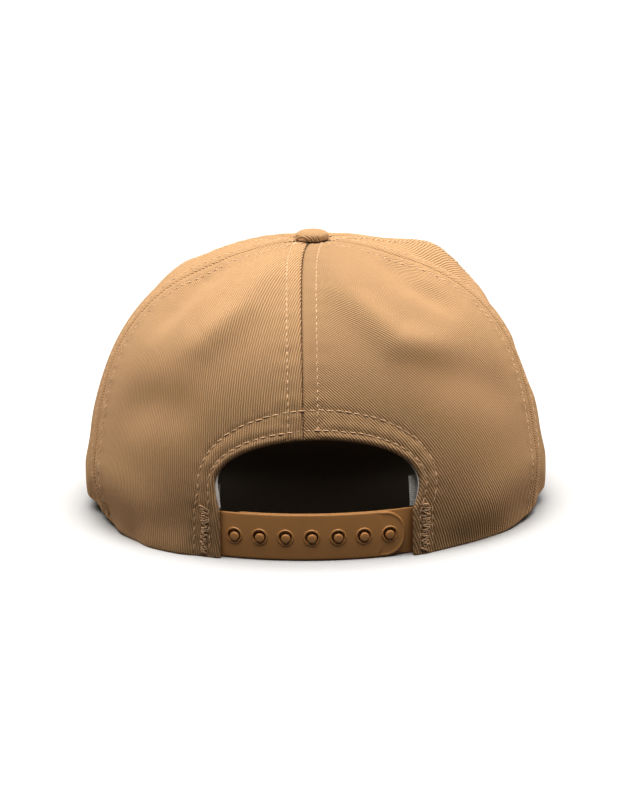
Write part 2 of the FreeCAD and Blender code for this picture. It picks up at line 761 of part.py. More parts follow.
def make_tab(label, outer, side):
    """Sewn end of a strap, fixed behind the panel's edge."""
    radius = size(outer)
    start_x = size("flex_x") + 0.5 * size("strap_thick") + size("tab_gap")
    start = math.degrees(math.asin(start_x / (radius - 0.5 * size("strap_thick"))))
    end = math.degrees(math.asin(size("tab_end_x") / radius))
    block = bound("Cylinder", label + "_block", Radius="sizes." + outer,
                  Height="sizes.strap_height")
    block.Angle = end - start
    hollow = bound("Cylinder", label + "_hollow", Radius="sizes." + outer + " - sizes.strap_thick",
                   Height="sizes.strap_height + 2")
    turn = 90.0 - end if side > 0.0 else 90.0 + start
    block.Placement = FreeCAD.Placement(
        FreeCAD.Vector(0.0, size("strap_centre_y"), size("strap_base")),
        FreeCAD.Rotation(FreeCAD.Vector(0.0, 0.0, 1.0), turn))
    hollow.Placement = FreeCAD.Placement(
        FreeCAD.Vector(0.0, size("strap_centre_y"), size("strap_base") - 1.0),
        FreeCAD.Rotation())
    keep(cut(label + "_sector", block, hollow), label)


# ------------------------------------------------------------------ the whole cap
opening_block = make_panels()
make_buckram()
make_tapes()
make_facing(opening_block)
make_sweatband()
make_label()
make_bar_tacks()
make_visor()
make_button()
make_hole_strap()
make_stud_strap()
make_tab("hole_strap_tab", "strap_radius", 1.0)
make_tab("stud_strap_tab", "stud_strap_radius", -1.0)

doc.recompute()
for obj in doc.Objects:
    if "Invalid" in obj.State or "Error" in obj.State:
        raise ValueError("%s did not compute: %s" % (obj.Name, obj.State))
for node in nodes:
    if node.Shape.isNull() or not node.Shape.isValid() or node.Shape.Volume <= 0.0:
        raise ValueError("%s has no sound shape" % node.Label)

os.makedirs("parts", exist_ok=True)
for node in nodes:
    node.Shape.exportStep(os.path.join("parts", node.Label + ".step"))
    print("%-24s %9.1f mm3" % (node.Label, node.Shape.Volume))
print("%d nodes" % len(nodes))
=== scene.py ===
"""Looks of the baseball cap: cloth panels, stitches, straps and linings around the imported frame.

Lengths in this file are millimetres and become metres where a mesh is made. The crown is one
surface in two angles, phi round the cap (0 at the back, towards +X) and alpha up its profile
(0 at the rim, 90 degrees on top), and every cloth piece is laid on it at some height.
"""
import math

import bpy
import numpy as np
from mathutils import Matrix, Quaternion, Vector


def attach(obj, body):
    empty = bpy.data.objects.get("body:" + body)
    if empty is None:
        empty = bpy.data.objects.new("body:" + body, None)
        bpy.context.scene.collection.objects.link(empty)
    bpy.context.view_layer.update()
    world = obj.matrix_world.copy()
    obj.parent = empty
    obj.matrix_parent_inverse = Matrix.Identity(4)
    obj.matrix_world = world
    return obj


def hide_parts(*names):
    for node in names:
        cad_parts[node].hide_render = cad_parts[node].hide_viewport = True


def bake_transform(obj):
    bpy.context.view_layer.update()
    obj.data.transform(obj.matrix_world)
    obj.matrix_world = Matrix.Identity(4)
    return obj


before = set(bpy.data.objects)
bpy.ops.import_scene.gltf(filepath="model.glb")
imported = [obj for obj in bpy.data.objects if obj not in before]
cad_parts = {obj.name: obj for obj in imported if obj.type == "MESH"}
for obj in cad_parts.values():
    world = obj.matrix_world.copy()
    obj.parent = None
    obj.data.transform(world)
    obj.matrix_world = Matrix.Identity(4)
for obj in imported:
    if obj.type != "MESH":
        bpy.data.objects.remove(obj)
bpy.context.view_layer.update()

MM = 0.001
PI = math.pi
HALF_PI = 0.5 * math.pi
CROWN = "crown"
SEED = 7

# ------------------------------------------------------------------ the crown's surface
RIM_RADIUS = 92.0
RIM_SHIFT = -2.0
RIM_OVAL = -3.3
CROWN_HEIGHT = 110.5
CROWN_SQUARE = 2.5
CROWN_BELLY = 0.008
CROWN_PEAK = 2.5        # how much the cloth rises further at the button
PEAK_SPREAD = 0.3
BELLY_TOP = 0.5
APEX_Y = -4.0
SIDE_RISE = 7.5
RISE_START = math.radians(52.0)
RISE_SPREAD = math.radians(28.0)
VISOR_LEVEL = 20.62
VISOR_SLOPE = 0.084
VISOR_BEND = 435.0
VISOR_RIM_FROM = math.radians(95.0)
VISOR_RIM_FULL = math.radians(120.0)
SIDE_SEAM = math.radians(72.5)
SIDE_SEAM_BOW = math.radians(10.5)
FRONT_SEAM = math.radians(126.0)
BACK_SEAM_X = 4.8
BACK_SEAM_SETTLE = 20.0
CLOTH = 0.9             # thickness of a crown panel
LAYER_GAP = 0.05
BUTTON_HOLE = 2.4       # plan radius at the top where the panels stop


def smooth(value):
    """Smooth step from 0 to 1 while value runs from 0 to 1."""
    held = np.clip(value, 0.0, 1.0)
    return held * held * (3.0 - 2.0 * held)


def bump(distance, width):
    """Bell of height 1 and a given half width."""
    return np.exp(-(distance / width) ** 2)


def turn_of(phi):
    """Angle from the back, without its side."""
    return np.abs((phi + PI) % (2.0 * PI) - PI)


def plan_radius(phi):
    """Plan radius of the rim."""
    return RIM_RADIUS + RIM_SHIFT * np.cos(phi) + RIM_OVAL * np.cos(2.0 * phi)


def visor_height(x, y):
    """Height of the visor's upper face."""
    return VISOR_LEVEL + VISOR_SLOPE * y - x * x / (2.0 * VISOR_BEND)


def rim_height(phi):
    """Height of the rim: flat at the back, raised at the ears, on the visor in front."""
    turn = turn_of(phi)
    past = np.maximum(turn - RISE_START, 0.0) / RISE_SPREAD
    side = SIDE_RISE * (1.0 - np.exp(-past * past))
    radius = plan_radius(phi)
    front = visor_height(radius * np.sin(phi), radius * np.cos(phi)) + LAYER_GAP
    share = smooth((turn - VISOR_RIM_FROM) / (VISOR_RIM_FULL - VISOR_RIM_FROM))
    return side * (1.0 - share) + front * share


def profile(alpha):
    """Plan reach and rise, each 0 to 1, at a profile angle."""
    cosine = np.maximum(np.cos(alpha), 0.0)
    sine = np.maximum(np.sin(alpha), 0.0)
    length = (cosine ** CROWN_SQUARE + sine ** CROWN_SQUARE) ** (-1.0 / CROWN_SQUARE)
    return length * cosine, length * sine


def skin_radius(phi, alpha):
    """Plan radius of the crown's outer surface."""
    reach, rise = profile(alpha)
    belly = 1.0 + CROWN_BELLY * np.sin(PI * np.minimum(rise / BELLY_TOP, 1.0)) ** 2
    return plan_radius(phi) * reach * belly


def skin_point(phi, alpha):
    """Points of the crown's outer surface."""
    reach, rise = profile(alpha)
    radius = skin_radius(phi, alpha)
    peak = CROWN_PEAK * np.exp(-(reach / PEAK_SPREAD) ** 2)
    return np.stack([radius * np.sin(phi),
                     radius * np.cos(phi) + APEX_Y * (1.0 - reach),
                     rim_height(phi) * (1.0 - rise) + CROWN_HEIGHT * rise + peak], axis=-1)


def skin_normal(phi, alpha):
    """Outward normals of the crown's surface."""
    step = 1.0e-4
    across = skin_point(phi + step, alpha) - skin_point(phi - step, alpha)
    upwards = skin_point(phi, alpha + step) - skin_point(phi, alpha)
    normal = np.cross(upwards, across)
    return normal / np.linalg.norm(normal, axis=-1, keepdims=True)


def angles_at(x, z):
    """Phi and alpha of the points of the back of the crown at x and z."""
    phi = np.arcsin(x / RIM_RADIUS)
    alpha = np.zeros_like(phi)
    for _ in range(14):
        low = rim_height(phi)
        rise = np.clip((z - low) / (CROWN_HEIGHT - low), 0.0, 1.0)
        reach = (1.0 - rise ** CROWN_SQUARE) ** (1.0 / CROWN_SQUARE)
        alpha = np.arctan2(rise, reach)
        phi = np.arcsin(np.clip(x / skin_radius(phi, alpha), -1.0, 1.0))
    return phi, alpha


def alpha_at_reach(plan_reach):
    """Profile angle where the crown has a given plan radius."""
    angles = np.linspace(0.0, HALF_PI, 8001)
    return float(np.interp(-plan_reach, -skin_radius(HALF_PI, angles), angles))


TOP_ANGLE = alpha_at_reach(BUTTON_HOLE)


def side_seam(alpha):
    """Angle of the side seam on the +X side."""
    return SIDE_SEAM + SIDE_SEAM_BOW * np.sin(2.0 * alpha) ** 2


def front_seam(alpha):
    """Angle of the front seam on the +X side."""
    return FRONT_SEAM + 0.0 * alpha


def back_seam(alpha):
    """Angle of the back seam, a little to the +X side of the middle."""
    radius = skin_radius(0.0 * alpha, alpha)
    return np.arcsin(BACK_SEAM_X * np.tanh(radius / BACK_SEAM_SETTLE) / radius)


def mirrored(seam):
    """The same seam on the -X side."""
    def line(alpha):
        return -seam(alpha)
    return line


def full_turn(seam):
    """A seam on the -X side, counted on past the front."""
    def line(alpha):
        return 2.0 * PI - seam(alpha)
    return line


SEAMS = {"back": back_seam,
         "side_left": side_seam, "side_right": mirrored(side_seam),
         "front_left": front_seam, "front_right": full_turn(front_seam)}


# ------------------------------------------------------------------ lines on the crown
def path_length(points):
    """Length of a polyline up to each of its points."""
    steps = np.linalg.norm(np.diff(points, axis=0), axis=1)
    return np.concatenate([[0.0], np.cumsum(steps)])


def resample(points, places):
    """Points of a polyline at lengths along it."""
    along = path_length(points[:, :3])
    return np.stack([np.interp(places, along, column) for column in points.T], axis=1)


def measure(points, line):
    """Distance of each point from a polyline, and the place of its nearest point along it."""
    flat = points.reshape(-1, 3)
    along = path_length(line)
    squares = (line * line).sum(1)[None, :] - 2.0 * flat @ line.T
    nearest = squares.argmin(1)
    best = np.full(len(flat), np.inf)
    place = np.zeros(len(flat))
    last = len(line) - 1
    for shift in (-1, 0):
        start = np.clip(nearest + shift, 0, last - 1)
        step = line[start + 1] - line[start]
        length = np.maximum((step * step).sum(1), 1.0e-12)
        share = np.clip(((flat - line[start]) * step).sum(1) / length, 0.0, 1.0)
        away = np.linalg.norm(flat - line[start] - share[:, None] * step, axis=1)
        closer = away < best
        best[closer] = away[closer]
        place[closer] = (along[start] + share * np.sqrt(length))[closer]
    return best.reshape(points.shape[:-1]), place.reshape(points.shape[:-1])


def seam_line(seam, low=0.0, high=TOP_ANGLE, count=320):
    """Polyline of a seam on the crown's surface."""
    alpha = np.linspace(low, high, count)
    return skin_point(seam(alpha), alpha)


SEAM_LINES = {name: seam_line(seam) for name, seam in SEAMS.items()}
RIM_TURN = np.linspace(0.0, 2.0 * PI, 721)
RIM_LINE = skin_point(RIM_TURN, 0.0 * RIM_TURN)

ARCH_HALF = 41.5
ARCH_RISE = 19.8
ARCH_SPRING = 30.0
ARCH_CENTRE = -0.5
SLOT_HALF = 39.2
SLOT_TOP = 19.5


def arch_outline(grow_x=0.0, grow_z=None, foot=0.0, centre=ARCH_CENTRE, legs=None):
    """Outline of the rear opening in x and z, from its +X foot over the top to its -X foot.

    legs holds the x of the upright lines beside the strap, if they don't follow the opening.
    """
    grow_top = grow_x if grow_z is None else grow_z
    half = ARCH_HALF + grow_x
    slots = (SLOT_HALF + grow_x, -SLOT_HALF - grow_x) if legs is None else legs
    upright = np.linspace(foot, SLOT_TOP, 30, endpoint=False)
    flare = np.linspace(0.0, 1.0, 16, endpoint=False)
    widen = np.sin(HALF_PI * flare)
    z = np.concatenate([upright, SLOT_TOP + (ARCH_SPRING - SLOT_TOP) * flare])
    sides = []
    for slot, end in zip(slots, (centre + half, centre - half)):
        x = np.concatenate([slot + 0.0 * upright, slot + (end - slot) * widen])
        sides.append(np.stack([x, z], axis=1))
    over = np.linspace(0.0, PI, 181)
    crest = np.stack([centre + half * np.cos(over),
                      ARCH_SPRING + (ARCH_RISE + grow_top) * np.sin(over)], axis=1)
    return np.concatenate([sides[0], crest, sides[1][::-1]])


def on_back(outline):
    """Points of the back of the crown's surface, from x and z."""
    phi, alpha = angles_at(outline[:, 0], outline[:, 1])
    return skin_point(phi, alpha)


ARCH_LINE = on_back(arch_outline())
INNER_ROW = arch_outline(2.6, 3.7, foot=1.0, legs=(43.4, -41.9))
OUTER_ROW = arch_outline(6.8, 11.4, foot=1.0, centre=-0.6, legs=(49.6, -47.0))
ARCH_ROWS = (on_back(INNER_ROW), on_back(OUTER_ROW))


# ------------------------------------------------------------------ relief of the crown
SEAM_ROW = 6.0          # distance of a topstitch row from its seam
STITCH_PITCH = 3.0
SEAM_RIDGE = 0.42       # rise of the cloth over the turned seam edges
SEAM_PUFF = 0.22        # more rise half-way between a seam and its topstitch row
SEAM_DROP = 0.75        # depth of the valley where two panels meet
SEAM_WAVE = 0.13        # puckers beside the topstitch rows
ARCH_RIDGE = 0.35       # rise of the hem round the rear opening
ARCH_PUFF = 0.62        # rise of the rolled edge inside the inner row
ARCH_WAVE = 0.10
HEM_WIDTH = 9.5         # how far the turned edges reach under a panel
HEM_FADE = 3.5
SEAM_ROLL = 1.3         # radius of a panel's rounded edge at a seam
ARCH_ROLL = 1.1
ARCH_DROP = 0.5
RIM_ROLL = 0.8
RIM_DROP = 0.4
GROOVE_WIDTH = 0.85
GROOVE_DEPTH = 0.22
NEEDLE_DEPTH = 0.12
GATHER = -0.5           # dip of the cloth drawn in round the button
GATHER_FROM = 5.6       # plan distance from the top where the dip starts
GATHER_END = 20.0
CALM_RADIUS = 5.0       # plan distance from the top within which the cloth is smooth
CALM_FADE = 7.0
FOLD_FADE = 0.35        # share of a fold's length over which it dies out at each end
FOLDS = (
    # height, width, then places along it as phi and alpha in degrees
    # on each back panel a ridge comes down from the top and turns out, with a valley
    # beyond it and a broad dent under it
    (2.7, 8.5, (40.0, 80.0), (30.0, 65.0), (30.0, 55.0), (40.0, 45.0), (55.0, 40.0)),
    (-2.3, 8.0, (70.0, 70.0), (65.0, 55.0), (65.0, 40.0)),
    (-1.8, 11.0, (70.0, 25.0), (50.0, 30.0), (30.0, 30.0)),
    (2.9, 8.0, (-25.0, 80.0), (-15.0, 60.0), (-30.0, 45.0), (-60.0, 40.0)),
    (-2.5, 8.0, (-65.0, 75.0), (-55.0, 60.0), (-65.0, 45.0)),
    (-1.6, 11.0, (-30.0, 35.0), (-50.0, 35.0), (-75.0, 25.0)),
    # the stiffened front panel stands over the side panels
    (6.0, 12.0, (-115.0, 25.0), (-125.0, 45.0), (-120.0, 70.0)),
    (-2.6, 6.5, (-100.0, 40.0), (-105.0, 70.0)),
    (2.4, 10.0, (120.0, 30.0), (120.0, 60.0)),
    # the sides swell just above the rim, which draws in beside the back
    (2.0, 12.0, (80.0, 0.0), (90.0, 5.0), (95.0, 10.0)),
    (2.0, 12.0, (-80.0, 0.0), (-90.0, 5.0), (-95.0, 10.0)),
    (-1.2, 11.0, (-90.0, 20.0), (-95.0, 35.0)),
    (-2.0, 7.5, (60.0, 0.0), (85.0, 0.0)),
    (2.4, 9.0, (30.0, 0.0), (55.0, 0.0)),
    (-1.2, 7.5, (-30.0, 0.0), (-60.0, 0.0)),
    (1.8, 11.0, (35.0, 5.0), (60.0, 10.0), (85.0, 10.0)),
    (1.8, 11.0, (-35.0, 5.0), (-60.0, 10.0), (-85.0, 10.0)),
)


def fold_line(places):
    """Polyline of a fold through places given in degrees."""
    corners = np.radians(np.array(places))
    share = np.linspace(0.0, len(corners) - 1.0, 60)
    phi, alpha = (np.interp(share, np.arange(len(corners)), column) for column in corners.T)
    return skin_point(phi, alpha)


def shape_lift(points):
    """Broad folds and dents of the crown, shared by all its layers."""
    flat = points.reshape(-1, 3)
    lift = np.zeros(len(flat))
    for height, width, *places in FOLDS:
        line = fold_line(places)
        away, place = measure(flat, line)
        length = path_length(line)[-1]
        fade = FOLD_FADE * length
        taper = smooth(place / fade) * smooth((length - place) / fade)
        lift += height * bump(away, width) * taper
    return lift.reshape(points.shape[:-1])


def ripple(along, phase):
    """Uneven waves of about -1 to 1 along a line."""
    return (0.6 * np.sin(along * 2.0 * PI / 7.3 + phase + 0.9 * np.sin(along / 9.0))
            + 0.4 * np.sin(along * 2.0 * PI / 12.7 + 2.3 * phase))


def row_groove(away, along):
    """Groove that a row of stitches pulls into the cloth, deeper at each needle hole."""
    needle = 0.5 + 0.5 * np.cos(2.0 * PI * along / STITCH_PITCH)
    return bump(away, GROOVE_WIDTH) * (GROOVE_DEPTH + NEEDLE_DEPTH * needle)


def rolled(away, radius, drop):
    """Drop of an edge that is rounded over a distance."""
    inwards = 1.0 - np.clip(away / radius, 0.0, 1.0)
    return drop * (1.0 - np.sqrt(1.0 - inwards * inwards))


def cloth_lift(points, seams, has_arch):
    """How far the outer face of a panel stands over the crown's surface."""
    flat = points.reshape(-1, 3)
    ridge = np.zeros(len(flat))
    drop = np.zeros(len(flat))
    wave = np.zeros(len(flat))
    for number, name in enumerate(seams):
        away, along = measure(flat, SEAM_LINES[name])
        band = SEAM_RIDGE * smooth((HEM_WIDTH - away) / HEM_FADE)
        band = band + SEAM_PUFF * bump(away - 3.2, 1.8)
        ridge = np.maximum(ridge, band)
        drop = np.maximum(drop, row_groove(away - SEAM_ROW, along))
        drop = np.maximum(drop, rolled(away, SEAM_ROLL, SEAM_DROP + ridge))
        wave += SEAM_WAVE * bump(away - SEAM_ROW, 5.0) * ripple(along, 1.7 * number)
    away = measure(flat, RIM_LINE)[0]
    drop = np.maximum(drop, rolled(away, RIM_ROLL, RIM_DROP))
    if has_arch:
        away = measure(flat, ARCH_LINE)[0]
        ridge = np.maximum(ridge, ARCH_RIDGE * smooth((HEM_WIDTH - away) / HEM_FADE))
        ridge = np.maximum(ridge, ARCH_PUFF * bump(away - 1.8, 1.5))
        drop = np.maximum(drop, rolled(away, ARCH_ROLL, ARCH_DROP + ridge))
        for line in ARCH_ROWS:
            away, along = measure(flat, line)
            drop = np.maximum(drop, row_groove(away, along))
            wave += ARCH_WAVE * bump(away, 4.0) * ripple(along, 0.8)
    top = np.hypot(flat[:, 0], flat[:, 1] - APEX_Y)
    calm = smooth((top - CALM_RADIUS) / CALM_FADE)
    gather = GATHER * smooth((top - GATHER_FROM) / 1.5) * smooth((GATHER_END - top) / 13.0)
    return ((ridge + wave) * calm + gather - drop).reshape(points.shape[:-1])


def on_crown(phi, alpha, lift):
    """Points at a lift over the folded crown, negative inside."""
    base = skin_point(phi, alpha)
    height = shape_lift(base) + lift
    return base + skin_normal(phi, alpha) * height[..., None]


# ------------------------------------------------------------------ meshes
def signed_volume(points, faces):
    """Volume inside faces that look outwards, negative if they look inwards."""
    total = 0.0
    for width in (3, 4):
        chosen = np.array([face for face in faces if len(face) == width], dtype=int)
        if len(chosen) == 0:
            continue
        first = points[chosen[:, 0]]
        for k in range(1, width - 1):
            crossed = np.cross(points[chosen[:, k]], points[chosen[:, k + 1]])
            total += (first * crossed).sum()
    return total


def make_piece(name, points, faces, material, body=CROWN, cloth=None):
    """Closed mesh object from points in millimetres, riding on a body.

    cloth holds, for each point, its place in the weave: across the ribs and along them.
    """
    flat = np.asarray(points, dtype=float).reshape(-1, 3)
    faces = [tuple(map(int, face)) for face in faces]
    if signed_volume(flat, faces) < 0.0:
        faces = [face[::-1] for face in faces]
    mesh = bpy.data.meshes.new(name)
    mesh.from_pydata((flat * MM).tolist(), [], faces)
    weave = flat[:, :2] if cloth is None else np.asarray(cloth, dtype=float).reshape(-1, 2)
    layer = mesh.attributes.new("weave", "FLOAT_VECTOR", "POINT")
    values = np.zeros((len(flat), 3))
    values[:, :2] = weave * MM
    layer.data.foreach_set("vector", values.ravel())
    mesh.materials.append(material)
    mesh.polygons.foreach_set("use_smooth", [True] * len(mesh.polygons))
    mesh.update()
    piece = bpy.data.objects.new(name, mesh)
    bpy.context.scene.collection.objects.link(piece)
    if body:
        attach(piece, body)
    return piece


def grid_faces(columns, rows, start=0, flip=False):
    """Faces of a grid of points stored column by column."""
    first = (np.arange(columns - 1)[:, None] * rows + np.arange(rows - 1)[None, :]).ravel() + start
    corners = [first, first + rows, first + rows + 1, first + 1]
    if flip:
        corners = corners[::-1]
    return np.stack(corners, axis=1).tolist()


def grid_ring(columns, rows):
    """Indices round the border of a grid stored column by column."""
    ring = [i * rows for i in range(columns)]
    ring += [(columns - 1) * rows + k for k in range(1, rows)]
    ring += [i * rows + rows - 1 for i in range(columns - 2, -1, -1)]
    ring += [k for k in range(rows - 2, 0, -1)]
    return ring


def wall_faces(upper, lower):
    """Quads between two closed rings of the same length."""
    count = len(upper)
    return [(upper[(i + 1) % count], upper[i], lower[i], lower[(i + 1) % count])
            for i in range(count)]


def shell(outer, inner):
    """Points and faces of a closed shell between two grids of the same size."""
    columns, rows = outer.shape[:2]
    count = columns * rows
    faces = grid_faces(columns, rows) + grid_faces(columns, rows, start=count, flip=True)
    ring = grid_ring(columns, rows)
    faces += wall_faces(ring, [index + count for index in ring])
    return np.concatenate([outer.reshape(-1, 3), inner.reshape(-1, 3)]), faces


def edged(count, span, first=0.16, near_both=True):
    """Values from 0 to 1 that crowd towards the ends, for a grid of a width in millimetres."""
    steps = np.array([0.0, 1.0, 2.2, 3.7, 5.6, 8.0]) * first / span
    inner = np.linspace(steps[-1], 1.0 - (steps[-1] if near_both else 0.0), count)
    parts = [steps[:-1], inner]
    if near_both:
        parts.append(1.0 - steps[-2::-1])
    return np.concatenate(parts)


# ------------------------------------------------------------------ weave coordinates
ARC_ANGLES = np.linspace(0.0, HALF_PI, 2001)
ARC_LENGTHS = path_length(skin_point(0.0 * ARC_ANGLES, ARC_ANGLES))
LEAN_HEIGHT = 60.0


def crown_weave(phi, alpha, middle, cut, lean):
    """Place in the cloth of points on the crown: across the ribs and along them.

    The cloth is laid out flat from a middle meridian. cut is the angle of the ribs, in degrees,
    above the horizontal as seen from outside, running to the right. lean turns them further
    with height, as a stretched panel does.
    """
    right = -(phi - middle) * skin_radius(phi, alpha)
    up = np.interp(alpha, ARC_ANGLES, ARC_LENGTHS)
    turn = math.radians(cut)
    along = right * math.cos(turn) + up * math.sin(turn)
    across = -right * math.sin(turn) + up * math.cos(turn)
    across = across + 0.5 * lean * (up - LEAN_HEIGHT) ** 2
    return np.stack([across, along], axis=-1)


# ------------------------------------------------------------------ node materials
class Graph:
    """Node tree of one material, with short calls for the nodes used here."""

    def __init__(self, name, **sockets):
        self.material = bpy.data.materials.new(name)
        self.material.use_nodes = True
        self.tree = self.material.node_tree
        self.shader = next(n for n in self.tree.nodes if n.type == "BSDF_PRINCIPLED")
        for socket, value in sockets.items():
            self.shader.inputs[socket.replace("_", " ")].default_value = value

    def node(self, kind, **settings):
        """New shader node."""
        made = self.tree.nodes.new("ShaderNode" + kind)
        for key, value in settings.items():
            setattr(made, key, value)
        return made

    def put(self, socket, value):
        """Link a socket to another one, or set its value."""
        if isinstance(value, bpy.types.NodeSocket):
            self.tree.links.new(value, socket)
        elif value is not None:
            socket.default_value = value

    def math(self, operation, first, second=None, third=None):
        """Result of a math node."""
        made = self.node("Math", operation=operation)
        for socket, value in zip(made.inputs, (first, second, third)):
            self.put(socket, value)
        return made.outputs[0]

    def mix(self, share, first, second):
        """Colour between two others."""
        made = self.node("Mix", data_type="RGBA")
        self.put(made.inputs[0], share)
        self.put(made.inputs[6], first)
        self.put(made.inputs[7], second)
        return made.outputs[2]

    def weave(self):
        """Place in the cloth, then its parts across the ribs and along them, in metres."""
        made = self.node("Attribute", attribute_name="weave")
        parts = self.node("SeparateXYZ")
        self.put(parts.inputs[0], made.outputs["Vector"])
        return made.outputs["Vector"], parts.outputs[0], parts.outputs[1]

    def noise(self, vector, scale, detail=2.0, roughness=0.5):
        """Cloudy pattern from 0 to 1."""
        made = self.node("TexNoise")
        self.put(made.inputs["Vector"], vector)
        made.inputs["Scale"].default_value = scale
        made.inputs["Detail"].default_value = detail
        made.inputs["Roughness"].default_value = roughness
        return made.outputs[0]

    def wave(self, value):
        """Sine of whole turns, from 0 to 1."""
        turned = self.math("MULTIPLY", value, 2.0 * PI)
        return self.math("MULTIPLY_ADD", self.math("SINE", turned), 0.5, 0.5)

    def relief(self, height, depth):
        """Bump of a depth in millimetres."""
        made = self.node("Bump")
        self.put(made.inputs["Height"], height)
        made.inputs["Distance"].default_value = depth * MM
        made.inputs["Strength"].default_value = 1.0
        self.put(self.shader.inputs["Normal"], made.outputs[0])

    def paint(self, colour):
        """Finish the material with its colour."""
        self.put(self.shader.inputs["Base Color"], colour)
        return self.material


def shade(colour, factor):
    """Colour with alpha, darker or lighter by a factor."""
    return tuple(min(part * factor, 1.0) for part in colour) + (1.0,)


def object_place(graph):
    """Object coordinates, in metres."""
    return graph.node("TexCoord").outputs["Object"]


def twill_material(name, colour, pitch, depth, sheen, contrast=0.62):
    """Twill: raised diagonal ribs made of short floats, with painted shade in the rib valleys and a
    painted highlight on their crests, soft patches of tone and lint.
    """
    graph = Graph(name, Roughness=0.86, Sheen_Weight=sheen, Sheen_Roughness=0.3,
                  Specular_IOR_Level=0.22)
    graph.shader.inputs["Sheen Tint"].default_value = (1.0, 0.98, 0.96, 1.0)
    vector, across, along = graph.weave()
    wobble = graph.math("MULTIPLY_ADD", graph.noise(vector, 260.0, 3.0), 0.7, -0.35)
    rib_place = graph.math("ADD", graph.math("DIVIDE", across, pitch * MM), wobble)
    rib = graph.wave(rib_place)
    float_place = graph.math("ADD", graph.math("DIVIDE", along, 0.7 * pitch * MM),
                             graph.math("MULTIPLY", rib_place, 0.5))
    floats = graph.wave(float_place)
    height = graph.math("MULTIPLY_ADD", graph.math("MULTIPLY", rib, floats), 0.3,
                        graph.math("MULTIPLY", rib, 0.7))
    fibre = graph.noise(vector, 5200.0, 2.0, 0.7)
    height = graph.math("MULTIPLY_ADD", fibre, 0.25, height)
    graph.relief(height, depth)
    # painted shade and highlight: the colour follows the rib height, darker by the factor contrast
    # in the valleys and lighter on the crests
    rib_painted_shade = graph.mix(height, shade(colour, contrast), shade(colour, 1.16))
    patch = graph.noise(object_place(graph), 38.0, 3.0)
    toned = graph.mix(graph.math("MULTIPLY", patch, 0.32), rib_painted_shade, shade(colour, 0.78))
    lint = graph.math("GREATER_THAN", graph.noise(vector, 1500.0, 1.0), 0.74)
    return graph.paint(graph.mix(graph.math("MULTIPLY", lint, 0.22), toned, shade(colour, 1.7)))


def thread_material(name, colour):
    """Twisted sewing thread."""
    graph = Graph(name, Roughness=0.55, Sheen_Weight=0.3, Specular_IOR_Level=0.4)
    place = object_place(graph)
    ply = graph.noise(place, 2600.0, 1.0)
    graph.relief(ply, 0.12)
    tone = graph.noise(place, 420.0, 1.0)
    return graph.paint(graph.mix(tone, shade(colour, 0.78), shade(colour, 1.2)))


def tape_material(name, colour):
    """Narrow woven tape with fine cross ribs, with painted shade in the grooves between the ribs
    and a painted highlight on the ribs.
    """
    graph = Graph(name, Roughness=0.8, Sheen_Weight=0.15, Specular_IOR_Level=0.25)
    vector, across, along = graph.weave()
    rib = graph.wave(graph.math("DIVIDE", along, 0.8 * MM))
    yarn = graph.wave(graph.math("DIVIDE", across, 0.55 * MM))
    height = graph.math("MULTIPLY_ADD", yarn, 0.35, rib)
    graph.relief(height, 0.12)
    tone = graph.math("MULTIPLY_ADD", graph.noise(vector, 300.0), 0.5, 0.25)
    # painted shade and highlight: the colour follows the ribs, darker in their grooves and lighter
    # on them, weighted at random by tone
    return graph.paint(graph.mix(graph.math("MULTIPLY", rib, tone), shade(colour, 0.7),
                                 shade(colour, 1.35)))


def open_weave_material(name, colour):
    """Stiff open weave of single yarns, with painted shade in the gaps between them."""
    graph = Graph(name, Roughness=0.9, Specular_IOR_Level=0.2)
    vector, across, along = graph.weave()
    warp = graph.wave(graph.math("DIVIDE", across, 1.1 * MM))
    weft = graph.wave(graph.math("DIVIDE", along, 1.1 * MM))
    yarns = graph.math("MAXIMUM", warp, weft)
    height = graph.math("MULTIPLY_ADD", graph.noise(vector, 3000.0), 0.2, yarns)
    graph.relief(height, 0.25)
    # painted shade: the gaps between the yarns are painted dark, the yarns themselves near their
    # own colour
    return graph.paint(graph.mix(yarns, shade(colour, 0.35), shade(colour, 1.05)))


def felt_material(name, colour):
    """Pressed white fibres."""
    graph = Graph(name, Roughness=0.95, Sheen_Weight=0.2, Specular_IOR_Level=0.15)
    place = object_place(graph)
    fibre = graph.noise(place, 1800.0, 4.0, 0.75)
    graph.relief(fibre, 0.15)
    cloud = graph.noise(place, 120.0, 2.0)
    tone = graph.math("MULTIPLY_ADD", cloud, 0.5, graph.math("MULTIPLY", fibre, 0.5))
    return graph.paint(graph.mix(tone, shade(colour, 0.85), shade(colour, 1.08)))


def moulded_material(name, colour, roughness):
    """Moulded plastic with a fine spark-eroded grain and faint handling marks."""
    graph = Graph(name, Specular_IOR_Level=0.45)
    place = object_place(graph)
    grain = graph.noise(place, 3600.0, 2.0, 0.6)
    cloud = graph.noise(place, 70.0, 3.0)
    graph.relief(graph.math("MULTIPLY_ADD", cloud, 0.6, grain), 0.03)
    scuff = graph.noise(place, 240.0, 4.0, 0.7)
    graph.put(graph.shader.inputs["Roughness"],
              graph.math("MULTIPLY_ADD", scuff, 0.22, roughness - 0.11))
    return graph.paint(graph.mix(cloud, shade(colour, 0.93), shade(colour, 1.07)))


def metal_material(name, colour):
    """Pressed metal with drawing lines."""
    graph = Graph(name, Metallic=1.0)
    place = object_place(graph)
    lines = graph.noise(place, 1500.0, 3.0)
    graph.relief(lines, 0.02)
    graph.put(graph.shader.inputs["Roughness"], graph.math("MULTIPLY_ADD", lines, 0.25, 0.25))
    return graph.paint(graph.mix(lines, shade(colour, 0.85), shade(colour, 1.1)))


